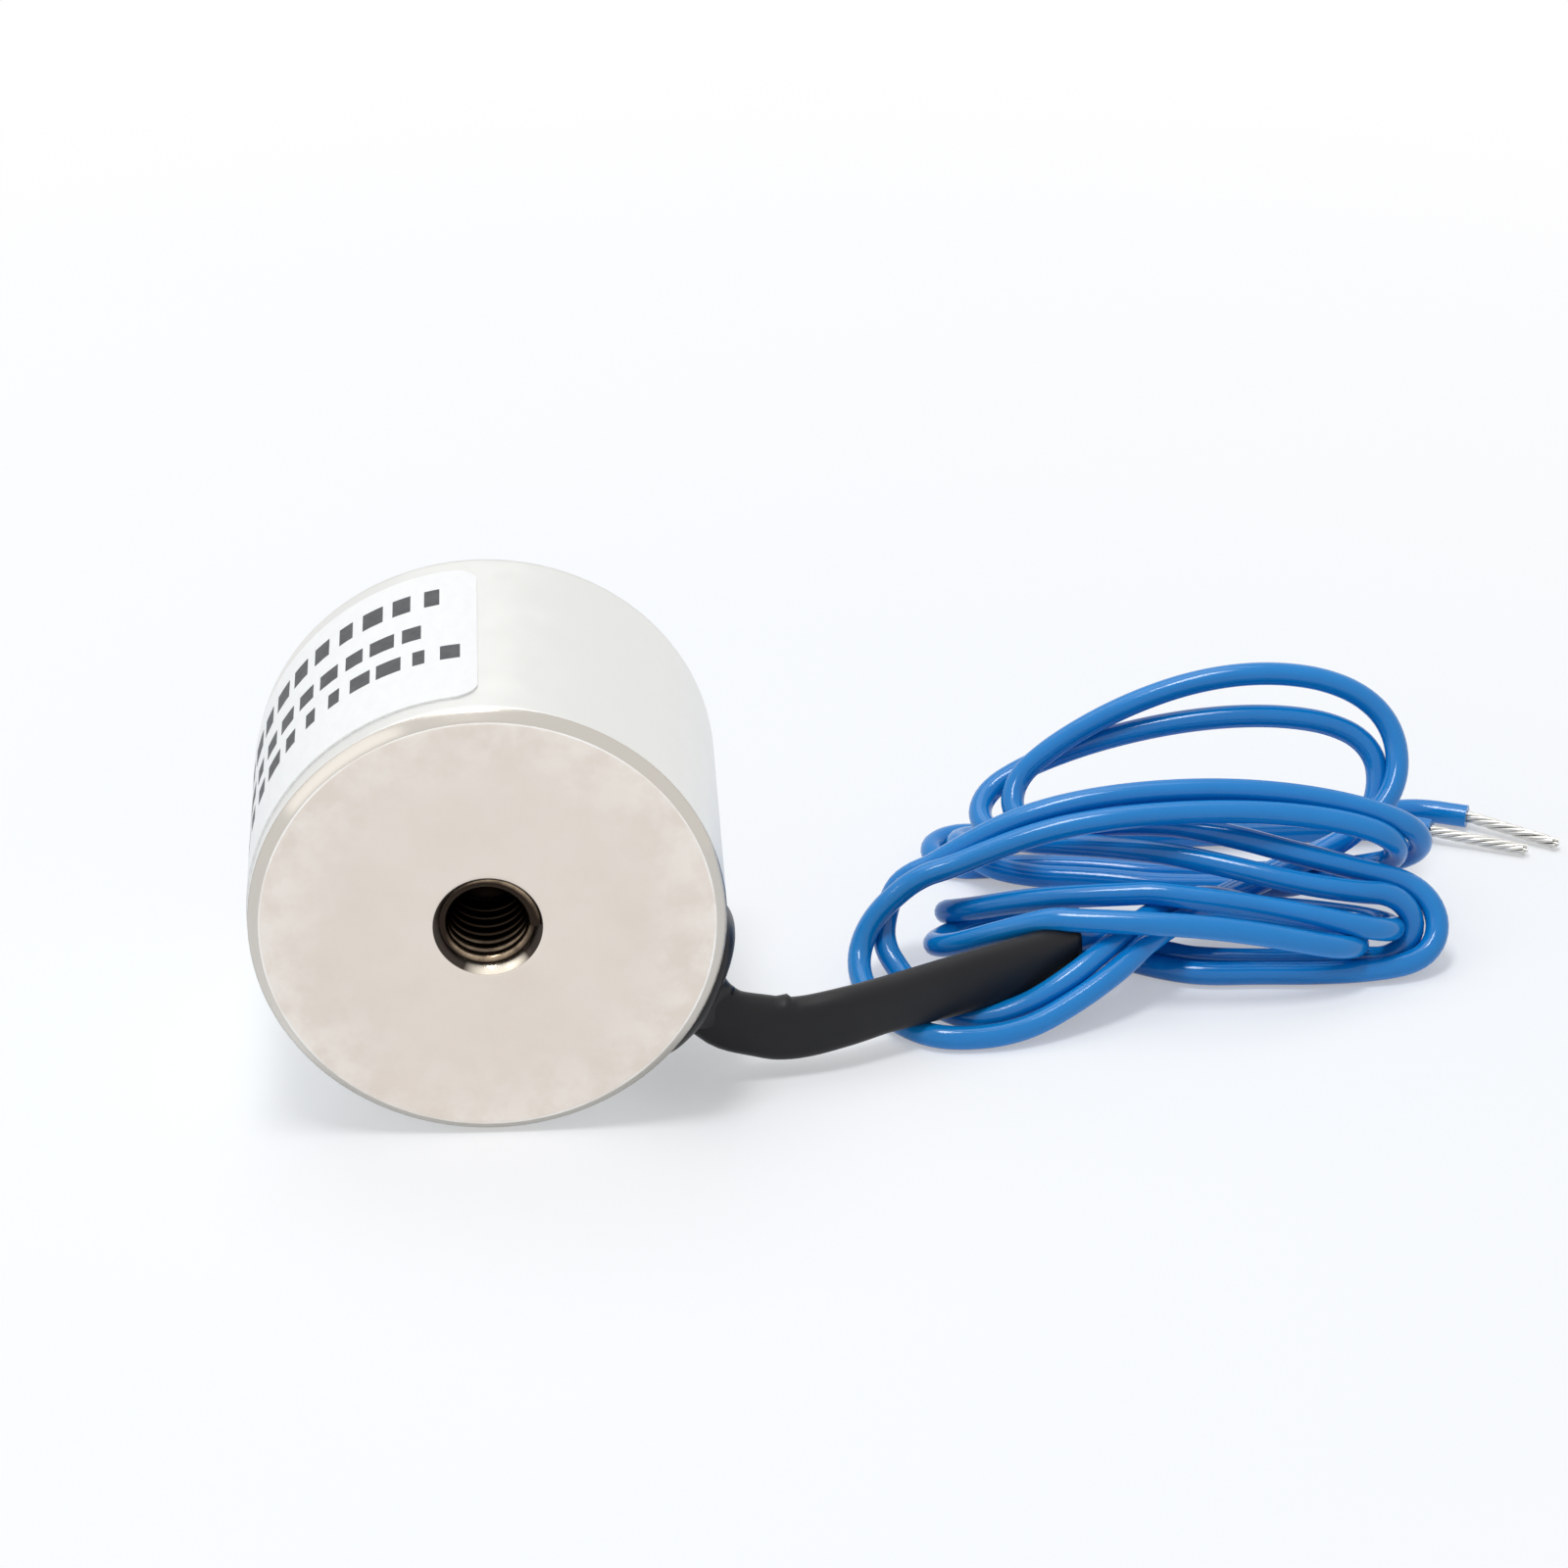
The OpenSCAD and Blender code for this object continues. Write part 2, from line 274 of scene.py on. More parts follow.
class Surface:
    """A new material with a Principled BSDF, and short ways to the shared effects."""

    def __init__(self, name: str, **sockets: object) -> None:
        """Makes the material.

        Args:
            name: The material's name.
            sockets: Values of the shader's own sockets, with underscores for spaces.
        """
        self.material = bpy.data.materials.new(name)
        self.material.use_nodes = True
        self.tree = Tree(self.material.node_tree)
        self.shader = self.material.node_tree.nodes["Principled BSDF"]
        for key, value in sockets.items():
            self.shader.inputs[key.replace("_", " ")].default_value = value
        self.place = self.tree.add("ShaderNodeTexCoord").outputs["Object"]

    def normal(self) -> Sockets:
        """Parts of the surface's normal."""
        return self.tree.split(self.tree.add("ShaderNodeNewGeometry").outputs["Normal"])

    def mask(self, noise: Noise) -> Socket:
        """Places the mottle group and returns its mask."""
        return self._group(Effects.mottle(), noise)

    def relief(self, uneven: Unevenness) -> None:
        """Places the relief group on the shader's normal."""
        self.set("Normal", self._group(Effects.relief(), uneven))

    def set(self, socket: str, value: object) -> None:
        """Links a value to one of the shader's sockets."""
        self.tree.feed(value, self.shader.inputs[socket])

    def _group(self, group: NodeTree, settings: Noise | Unevenness) -> Socket:
        """Places a shared group with its settings and returns its output."""
        values = {key.title(): value for key, value in vars(settings).items()}
        return self.tree.add("ShaderNodeGroup", {**values, "Vector": self.place},
                             node_tree=group).outputs[0]


# Finishes


@dataclass(frozen=True)
class NickelPlate:
    """Satin nickel on turned steel: warm ground faces, a burred rim painted bright as a highlight,
    a chamfered edge painted darker as shade, and a tapped hole painted dark as shade and oil.

    Facing is the normal's share along the pot's axis, or upwards at the bottom of the hole's
    countersink, where a highlight is painted. Shares say how far a noise shows.
    """

    light: Colour = (0.800, 0.720, 0.645)
    dark: Colour = (0.735, 0.650, 0.580)
    bloom: Colour = (0.880, 0.825, 0.765)
    side: Colour = (0.785, 0.785, 0.765)
    # Painted shade: the chamfered edge is darker than the face.
    chamfer: Colour = (0.60, 0.565, 0.515)
    # Painted highlight: bright colour for the burred rim of the face.
    burr: Colour = (0.95, 0.935, 0.91)
    # Painted highlight at the bottom of the countersink.
    lip: Colour = (1.0, 0.90, 0.76)
    # Painted shade: dark colours for the countersink ring and the bore, the bore's partly oil.
    mouth: Colour = (0.050, 0.040, 0.034)
    hole: Colour = (0.022, 0.015, 0.011)
    face_facing: Range = (0.85, 0.95)
    edge_facing: Range = (0.30, 0.50)
    lip_facing: Range = (0.56, 0.70)
    lip_turn: float = 0.18
    roughness: Range = (0.30, 0.42)
    edge_smoother: float = 0.45
    satin: Noise = Noise(700.0, 0.3)
    grain: Noise = Noise(800.0, 0.30, (2.0, 1.0, 0.25))
    clouds: Noise = Noise(230.0, 0.14)
    spots: Noise = Noise(520.0, 0.10)
    wear: Noise = Noise(350.0, 0.12)
    grain_share: float = 0.35
    cloud_share: float = 0.55
    spot_share: Range = (0.10, 0.75)
    wear_share: Range = (0.25, 1.0)
    spots_from_r: float = 6.0 * MM
    face_r: float = 9.55 * MM
    burr_w: float = 0.10 * MM
    soft_edge: float = 0.04 * MM
    rounding: float = 0.35 * MM
    rounding_samples: int = 6
    mouth_r: float = 2.32 * MM
    hole_r: float = 2.03 * MM
    hole_end: float = 3 * MM
    axis_z: float = 10 * MM

    def material(self) -> Material:
        """Builds the finish.

        Returns:
            The material.
        """
        surface = Surface("nickel_plate", Metallic=1.0)
        tree = surface.tree
        normal, place = surface.normal(), tree.split(surface.place)
        up = tree.math("SUBTRACT", place["Z"], self.axis_z)
        square = tree.math("ADD", tree.math("POWER", place["X"], 2.0), tree.math("POWER", up, 2.0))
        radius = tree.math("SQRT", square)
        facing = tree.math("ABSOLUTE", normal["Y"])
        on_face = tree.remap(facing, *self.face_facing)
        on_edge = tree.remap(facing, *self.edge_facing)
        # The chamfered edge gets a darker colour as painted shade.
        colour = tree.mix(on_edge, self.side, self.chamfer)
        colour = tree.mix(on_face, colour, self._face(surface, radius))
        # Painted highlight: where the countersink faces upwards its colour goes bright; elsewhere
        # it stays dark as painted shade.
        turned = tree.math("MULTIPLY", normal["X"], self.lip_turn)
        glint = tree.remap(tree.math("SUBTRACT", normal["Z"], turned), *self.lip_facing)
        lip = tree.mix(glint, self.mouth, self.lip)
        # The countersink ring and the bore are painted dark as shade, the bore partly oil.
        tapped = tree.remap(place["Y"], self.hole_end, self.hole_end - MM)
        for limit, inner in ((self.mouth_r, lip), (self.hole_r, self.hole)):
            within = tree.remap(radius, limit, limit - self.soft_edge)
            colour = tree.mix(tree.math("MULTIPLY", tapped, within), colour, inner)
        surface.set("Base Color", colour)
        rough = tree.remap(surface.mask(self.satin), 0.0, 1.0, *self.roughness)
        chamfered = tree.math("MULTIPLY", on_edge, tree.math("SUBTRACT", 1.0, on_face))
        smoother = tree.remap(chamfered, 0.0, 1.0, 1.0, self.edge_smoother)
        surface.set("Roughness", tree.math("MULTIPLY", rough, smoother))
        rounded = tree.add("ShaderNodeBevel", {"Radius": self.rounding},
                           samples=self.rounding_samples)
        surface.set("Normal", rounded)
        return surface.material

    def _face(self, surface: Surface, radius: Socket) -> Socket:
        """Colour of a ground face: faint grain, pale blooms, and the burred rim at its edge, whose
        brightness is a painted highlight.

        Args:
            surface: The material under work.
            radius: Distance from the pot's axis.

        Returns:
            The colour's socket.
        """
        tree = surface.tree
        grain = tree.math("MULTIPLY", surface.mask(self.grain), self.grain_share)
        clouds = tree.math("MULTIPLY", surface.mask(self.clouds), self.cloud_share)
        face = tree.mix(tree.math("MAXIMUM", grain, clouds), self.light, self.dark)
        outer = tree.remap(radius, self.spots_from_r, self.face_r, *self.spot_share)
        blooms = tree.math("MULTIPLY", surface.mask(self.spots), outer)
        face = tree.mix(blooms, face, self.bloom)
        worn = tree.remap(surface.mask(self.wear), 0.0, 1.0, *self.wear_share)
        # Painted highlight: a thin bright line on the burred rim of the face, broken up by the wear
        # mask.
        burr_r = self.face_r - self.burr_w
        at_edge = tree.remap(radius, burr_r, burr_r + self.soft_edge)
        return tree.mix(tree.math("MULTIPLY", worn, at_edge), face, self.burr)


@dataclass(frozen=True)
class CutThread:
    """Bare steel of a cut thread, brown with oil; its upward faces painted light, the rest painted
    dark as shade, and painted shade further into the bore.
    """

    # Painted light on the ridge's upward faces, painted shade on the rest and further into the
    # bore.
    light: Colour = (0.72, 0.55, 0.38)
    dark: Colour = (0.028, 0.019, 0.014)
    deep: Colour = (0.030, 0.020, 0.014)
    roughness: float = 0.26
    lit_facing: Range = (0.10, 0.60)
    oil: Noise = Noise(1500.0, 0.3)
    tool_marks: Unevenness = Unevenness(3000.0, 0.25, 0.01 * MM)
    mouth_y: float = -7.3 * MM
    deep_y: float = -5.2 * MM

    def material(self) -> Material:
        """Builds the finish.

        Returns:
            The material.
        """
        surface = Surface("cut_thread", Metallic=1.0, Roughness=self.roughness)
        tree = surface.tree
        # Painted light and shade: upward faces get the light colour, broken by oil, the rest the
        # dark one.
        upward = tree.remap(surface.normal()["Z"], *self.lit_facing)
        lit = tree.math("MULTIPLY", upward, surface.mask(self.oil))
        lit_and_oiled = tree.mix(lit, self.dark, self.light)
        # Painted shade: darker further into the bore.
        depth = tree.remap(tree.split(surface.place)["Y"], self.mouth_y, self.deep_y)
        surface.set("Base Color", tree.mix(depth, lit_and_oiled, self.deep))
        surface.relief(self.tool_marks)
        return surface.material


@dataclass(frozen=True)
class PlainFinish:
    """Plain material with slight clouds of colour and roughness and a faintly uneven skin.

    On plastic the clouds of roughness and the relief are finer than the clouds of colour.
    """

    name: str
    light: Colour
    dark: Colour
    roughness: float
    scale: float = 300.0
    stretch: Point = EVEN
    contrast: float = 0.3
    rough_finer: float = 2.5
    rough_spread: Range = (0.85, 1.2)
    relief: float = 0.08
    relief_finer: float = 8.0
    relief_h: float = 0.02 * MM
    specular: float = 0.5
    metallic: float = 0.0

    def material(self) -> Material:
        """Builds the finish.

        Returns:
            The material.
        """
        surface = Surface(self.name, Metallic=self.metallic, Specular_IOR_Level=self.specular)
        clouds = surface.mask(Noise(self.scale, self.contrast, self.stretch))
        surface.set("Base Color", surface.tree.mix(clouds, self.light, self.dark))
        spread = surface.mask(Noise(self.scale * self.rough_finer, self.contrast, self.stretch))
        low, high = (self.roughness * share for share in self.rough_spread)
        surface.set("Roughness", surface.tree.remap(spread, 0.0, 1.0, low, high))
        fine = self.scale * self.relief_finer
        surface.relief(Unevenness(fine, self.relief, self.relief_h, self.stretch))
        return surface.material


@dataclass(frozen=True)
class BareMetal(PlainFinish):
    """Metal with a fine grain and light tarnish, which is also its rougher part."""

    scale: float = 900.0
    contrast: float = 0.25
    rough_finer: float = 1.0
    rough_spread: Range = (0.8, 1.3)
    relief: float = 0.15
    relief_finer: float = 3.0
    relief_h: float = 0.01 * MM
    metallic: float = 1.0


@dataclass(frozen=True)
class LabelPaper:
    """Coated white paper with a faint fibre."""

    light: Colour = (0.93, 0.93, 0.925)
    dark: Colour = (0.88, 0.88, 0.875)
    roughness: Range = (0.55, 0.70)
    specular: float = 0.35
    fibre: Noise = Noise(2500.0, 0.3, (1.0, 0.4, 1.0))
    tooth: Unevenness = Unevenness(4000.0, 0.12, 0.008 * MM)

    def material(self) -> Material:
        """Builds the finish.

        Returns:
            The material.
        """
        surface = Surface("label_paper", Specular_IOR_Level=self.specular)
        fibre = surface.mask(self.fibre)
        surface.set("Base Color", surface.tree.mix(fibre, self.light, self.dark))
        surface.set("Roughness", surface.tree.remap(fibre, 0.0, 1.0, *self.roughness))
        surface.relief(self.tooth)
        return surface.material


INSULATION = PlainFinish("blue_insulation", (0.003, 0.235, 0.650), (0.002, 0.205, 0.580), 0.15,
                         specular=0.42)
SLEEVE = PlainFinish("shrunk_sleeve", (0.0120, 0.0120, 0.0135), (0.0085, 0.0085, 0.0100), 0.40,
                     relief=0.25, specular=0.26)
RESIN = PlainFinish("cast_resin", (0.0120, 0.0118, 0.0120), (0.0080, 0.0080, 0.0085), 0.34,
                    relief=0.20, specular=0.32)
INK = PlainFinish("label_ink", (0.045, 0.046, 0.050), (0.090, 0.092, 0.098), 0.6, scale=1500.0)
NYLON = PlainFinish("bobbin_nylon", (0.78, 0.75, 0.66), (0.72, 0.69, 0.60), 0.4)
TAPE = PlainFinish("coil_tape", (0.62, 0.50, 0.14), (0.55, 0.43, 0.11), 0.35)
TINNED = BareMetal("tinned_strands", (0.76, 0.745, 0.71), (0.56, 0.55, 0.52), 0.40)
SOLDER = BareMetal("solder", (0.80, 0.80, 0.79), (0.66, 0.66, 0.65), 0.3)
COPPER = BareMetal("enamelled_copper", (0.62, 0.27, 0.12), (0.50, 0.20, 0.09), 0.3,
                   scale=6000.0, stretch=(0.05, 1.0, 0.05))


# Meshes


def put(name: str, data: bpy.types.ID) -> Object:
    """Makes an object in the scene, at the origin.

    Args:
        name: The object's name.
        data: Its mesh, curve, lamp or camera.

    Returns:
        The object.
    """
    made = bpy.data.objects.new(name, data)
    bpy.context.scene.collection.objects.link(made)
    return made


def mesh_object(name: str, points: np.ndarray, faces: list[tuple[int, ...]],
                material: Material) -> Object:
    """Makes a smooth mesh object at the origin.

    Args:
        name: The object's name.
        points: Its vertices, in metres.
        faces: Vertex indices of each face, outward.
        material: Its finish.

    Returns:
        The object.
    """
    mesh = bpy.data.meshes.new(name)
    mesh.from_pydata([tuple(p) for p in points], [], faces)
    mesh.materials.append(material)
    mesh.shade_smooth()
    return put(name, mesh)


def lengths(line: np.ndarray) -> np.ndarray:
    """Lengths of the steps between a line's points."""
    return np.linalg.norm(np.diff(line, axis=0), axis=1)


def distances(line: np.ndarray) -> np.ndarray:
    """Distance of each of a line's points from its start, along the line."""
    return np.concatenate([[0.0], np.cumsum(lengths(line))])


def through(points: np.ndarray, spacing: float) -> np.ndarray:
    """Evenly spaced points along a smooth curve through the given ones.

    Args:
        points: Points of the route, in order.
        spacing: Distance between the results.

    Returns:
        The new points, as a centripetal Catmull-Rom curve.
    """
    ends = np.vstack([2 * points[0] - points[1], points, 2 * points[-1] - points[-2]])
    found = []
    for a, b, c, d in zip(ends, ends[1:], ends[2:], ends[3:]):
        steps = [np.linalg.norm(q - p) ** 0.5 for p, q in ((a, b), (b, c), (c, d))]
        knots = np.cumsum([0.0] + steps)
        for t in np.linspace(knots[1], knots[2], CURVE_STEPS, endpoint=False):
            level = [a, b, c, d]
            for spans in ((0, 1), (1, 2), (2, 3)), ((0, 2), (1, 3)), ((1, 2),):
                level = [((knots[j] - t) * p + (t - knots[i]) * q) / (knots[j] - knots[i])
                         for (i, j), p, q in zip(spans, level, level[1:])]
            found.append(level[0])
    line = np.array(found + [points[-1]])
    along = distances(line)
    at = np.linspace(0.0, along[-1], max(2, round(along[-1] / spacing) + 1))
    return np.stack([np.interp(at, along, line[:, k]) for k in range(3)], axis=1)


def run_geometry_nodes(name: str, tree: NodeTree, values: dict[str, object],
                       place: Matrix) -> Object:
    """Runs a geometry tree and keeps its result as a plain mesh.

    Args:
        name: Name of the new object.
        tree: The geometry node tree.
        values: Values of its named inputs.
        place: Where the result goes.

    Returns:
        The object, at the origin, with its place in its mesh.
    """
    holder = put(name + "_nodes", bpy.data.meshes.new(name + "_nodes"))
    modifier = holder.modifiers.new("nodes", "NODES")
    modifier.node_group = tree
    items = tree.interface.items_tree
    sockets = {item.name: item.identifier for item in items if item.in_out == "INPUT"}
    for label, value in values.items():
        modifier[sockets[label]] = value
    evaluated = holder.evaluated_get(bpy.context.evaluated_depsgraph_get())
    mesh = bpy.data.meshes.new_from_object(evaluated)
    holder.modifiers.remove(modifier)
    bpy.data.objects.remove(holder)
    mesh.transform(place)
    return put(name, mesh)


def add_piece(piece: Object, slot: Slot, *nodes: str) -> Object:
    """Lets a piece ride on the part and hides the CAD nodes that it stands for.

    Args:
        piece: The new piece.
        slot: The record's material slot; not used.
        nodes: CAD nodes that it replaces.

    Returns:
        The piece.
    """
    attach(piece, ROOT)
    if nodes:
        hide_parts(*nodes)
    log.info("piece %s", piece.name)
    return piece


def dress(node: str, material: Material) -> None:
    """Gives a CAD node its finish.

    Args:
        node: The node's name.
        material: The finish.
    """
    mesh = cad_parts[node].data
    mesh.materials.clear()
    mesh.materials.append(material)
    log.info("node %s", node)


def pot_axis() -> np.ndarray:
    """Point where the pot's axis meets its mounting face."""
    low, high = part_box("pot_body")
    return np.array([(low.x + high.x) / 2, low.y, (low.z + high.z) / 2])


# Camera, floor and light


@dataclass(frozen=True)
class Lamp:
    """One soft box: its name, its middle, its width and depth, and its power in watts."""

    name: str
    place: Point
    size: Range
    power: float


@dataclass
class Studio:
    """White table, soft boxes above and the photograph's camera.

    The table glows for the camera, faintly at the part and fully away from it.
    """

    eye: Point = (1.6607 * MM, -221.7432 * MM, 129.1451 * MM)
    target: Point = (12.7175 * MM, 0.0, 12.4474 * MM)
    lens: float = 135.0
    sensor: float = 36.0
    clip: Range = (0.01, 20.0)
    floor_size: float = 4.0
    floor_drop: float = 0.02 * MM
    floor_colour: Colour = (0.93, 0.95, 0.98)
    floor_glow: float = 0.38
    glow_from: float = 40 * MM
    glow_to: float = 120 * MM
    ambient: float = 0.44
    ambient_tint: Colour = (0.93, 0.97, 1.0)
    lamps: tuple[Lamp, ...] = (
        Lamp("key_box", (-0.035, -0.065, 0.42), (0.08, 0.15), 0.70),
        Lamp("back_box", (-0.06, 0.17, 0.41), (0.30, 0.30), 0.42),
        Lamp("left_box", (-0.32, -0.10, 0.22), (0.32, 0.32), 0.16))

    def build(self) -> None:
        """Makes camera, floor, world and lamps."""
        self._camera()
        self._floor()
        self._world()
        for lamp in self.lamps:
            self._lamp(lamp)
        bpy.context.scene.view_settings.view_transform = "Standard"

    def _aimed(self, name: str, data: bpy.types.ID, place: Point) -> Object:
        """Puts a camera or a lamp at its place, turned towards the part.

        Args:
            name: The object's name.
            data: The camera or the lamp.
            place: Where it stands.

        Returns:
            The object.
        """
        made = put(name, data)
        made.location = place
        view = Vector(self.target) - Vector(place)
        made.rotation_euler = view.to_track_quat("-Z", "Y").to_euler()
        return made

    def _camera(self) -> None:
        """Puts the camera at the photograph's place."""
        data = bpy.data.cameras.new("camera")
        data.lens = self.lens
        data.sensor_width = self.sensor
        data.clip_start, data.clip_end = self.clip
        bpy.context.scene.camera = self._aimed("camera", data, self.eye)

    def _seen(self, tree: Tree) -> Socket:
        """Finds the rays that show a thing.

        Args:
            tree: The material's or world's tree.

        Returns:
            A socket with 1 on camera, glossy and transmission rays.
        """
        path = tree.add("ShaderNodeLightPath").outputs
        straight = tree.math("MAXIMUM", path["Is Camera Ray"], path["Is Glossy Ray"])
        return tree.math("MAXIMUM", straight, path["Is Transmission Ray"])

    def _floor(self) -> None:
        """Makes a pale floor that keeps the shadow and turns white around it."""
        half = self.floor_size / 2
        corners = np.array([(-half, -half), (half, -half), (half, half), (-half, half)])
        points = np.column_stack([corners, np.full(4, -self.floor_drop)])
        material = bpy.data.materials.new("white_table")
        material.use_nodes = True
        nodes = material.node_tree.nodes
        nodes.remove(nodes["Principled BSDF"])
        tree = Tree(material.node_tree)
        matt = tree.add("ShaderNodeBsdfDiffuse", {"Color": (*self.floor_colour, 1.0)})
        glow = tree.add("ShaderNodeEmission", {"Strength": 1.0})
        place = tree.add("ShaderNodeTexCoord").outputs["Object"]
        middle = (self.target[0], self.target[1], 0.0)
        away = tree.add("ShaderNodeVectorMath", {0: place, 1: middle}, operation="DISTANCE")
        white = tree.remap(away.outputs["Value"], self.glow_from, self.glow_to,
                           self.floor_glow, 1.0)
        share = tree.math("MULTIPLY", self._seen(tree), white)
        both = tree.add("ShaderNodeMixShader", {0: share, 1: matt, 2: glow})
        tree.feed(both, nodes["Material Output"].inputs["Surface"])
        mesh_object("table", points, [(0, 1, 2, 3)], material)

    def _world(self) -> None:
        """Makes a world that shows white and lights softly."""
        world = bpy.data.worlds.new("white_room")
        world.use_nodes = True
        tree = Tree(world.node_tree)
        seen = self._seen(tree)
        sky = world.node_tree.nodes["Background"].inputs
        tree.feed(tree.mix(seen, self.ambient_tint, WHITE), sky["Color"])
        tree.feed(tree.remap(seen, 0.0, 1.0, self.ambient, 1.0), sky["Strength"])
        bpy.context.scene.world = world

    def _lamp(self, lamp: Lamp) -> None:
        """Adds a soft box that faces the part.

        Args:
            lamp: The soft box.
        """
        data = bpy.data.lights.new(lamp.name, "AREA")
        data.shape = "RECTANGLE"
        data.size, data.size_y = lamp.size
        data.energy = lamp.power
        self._aimed(lamp.name, data, lamp.place)


# Leads


@dataclass(frozen=True)
class Turn:
    """Places that a lead passes on one turn of the coil, in millimetres from the corner.

    It bends at the right, runs homeward, bends at the left and runs outward again. On some
    turns the homeward run dips under the sleeve or other strands on its own places.
    """

    right: Point
    homeward: Point
    left: Point
    outward: Point
    via: tuple[Point, ...] = ()


@dataclass(frozen=True)
class LeadRoute:
    """One lead: where it lies in the sleeve, its turns, its free end, its tip's bend in degrees."""

    name: str
    side: Side
    start: Point
    turns: tuple[Turn, ...]
    tail: tuple[Point, ...]
    tip_turn: float
    nodes: tuple[str, ...]


UPPER_LEAD = LeadRoute(
    "lead_upper", Side.UPPER, (21.5, 14.4, 1.8),
    (Turn((31, 20.2, 5.5), (24.2, 22.2, 9.75), (13.6, 19.8, 4.6), (23.2, 15.1, 5.25)),
     Turn((32.1, 12.7, 2), (24, 11.1, 0.55), (10.1, 14.6, 1.9), (18.8, 11.9, 4.05),
          via=((21, 11.3, 0.55), (18.2, 12.7, 0.55), (15.2, 15.2, 0.6), (12.2, 16.3, 1))),
     Turn((29.5, 11.5, 2.4), (24.5, 14.9, 1.8), (8.1, 14.1, 3.8), (19.5, 15.3, 7.5),
          via=((21.6, 13.8, 3), (19.4, 12, 3.4), (17.2, 9.7, 3), (15.2, 8.3, 2.1),
               (13.2, 7.75, 1.1), (11.2, 7.7, 0.55), (9.4, 9, 0.55), (8.2, 11.3, 0.7),
               (7.4, 12.9, 1.8))),
     Turn((31.7, 15.7, 4.5), (21, 20.3, 0.55), (10.1, 22.8, 0.55), (19, 25, 0.55))),
    ((29.5, 25.4, 0.6), (31.4, 25.8, 0.6), (33.3, 25.9, 0.6), (35.4, 25.2, 0.6)), -11,
    ("lead_1", "lead_hank", "lead_1_tail"))
LOWER_LEAD = LeadRoute(
    "lead_lower", Side.LOWER, (21.5, 15.4, 1.3),
    (Turn((30.3, 19.8, 4.5), (24.3, 21.9, 7.8), (12.2, 20.2, 4.2), (22.8, 13.7, 4.5)),
     Turn((31, 12.8, 1.7), (24.2, 12.3, 0.55), (9.4, 12.6, 1.6), (18, 9.4, 4.1),
          via=((21.5, 12.6, 0.6), (19.2, 13.3, 1.2), (17, 14.1, 1.7), (14.4, 14.7, 1.75),
               (11.8, 14.3, 1.7))),
     Turn((27.7, 10.6, 2.1), (23.8, 13.5, 1.8), (8.9, 13.4, 4.4), (20, 14.2, 7),
          via=((21.2, 12.2, 2.9), (19, 10, 3), (17.4, 8.6, 2.3), (15.4, 7.4, 1.45),
               (13.4, 6.5, 0.8), (11.4, 6.1, 0.55), (9.2, 6.3, 0.55), (7.6, 7.8, 0.55),
               (6.5, 10.2, 0.65), (6.3, 12, 1.4), (7, 12.9, 2.7))),
     Turn((30.5, 14.9, 4.6), (21, 19.2, 0.55), (11.4, 22, 0.55), (19, 23.9, 0.55))),
    ((31.6, 24.2, 0.6), (32.5, 24.3, 0.6), (33.5, 23.9, 0.6)), 2,
    ("lead_2", "raised_turn", "floor_turn", "lead_2_tail"))


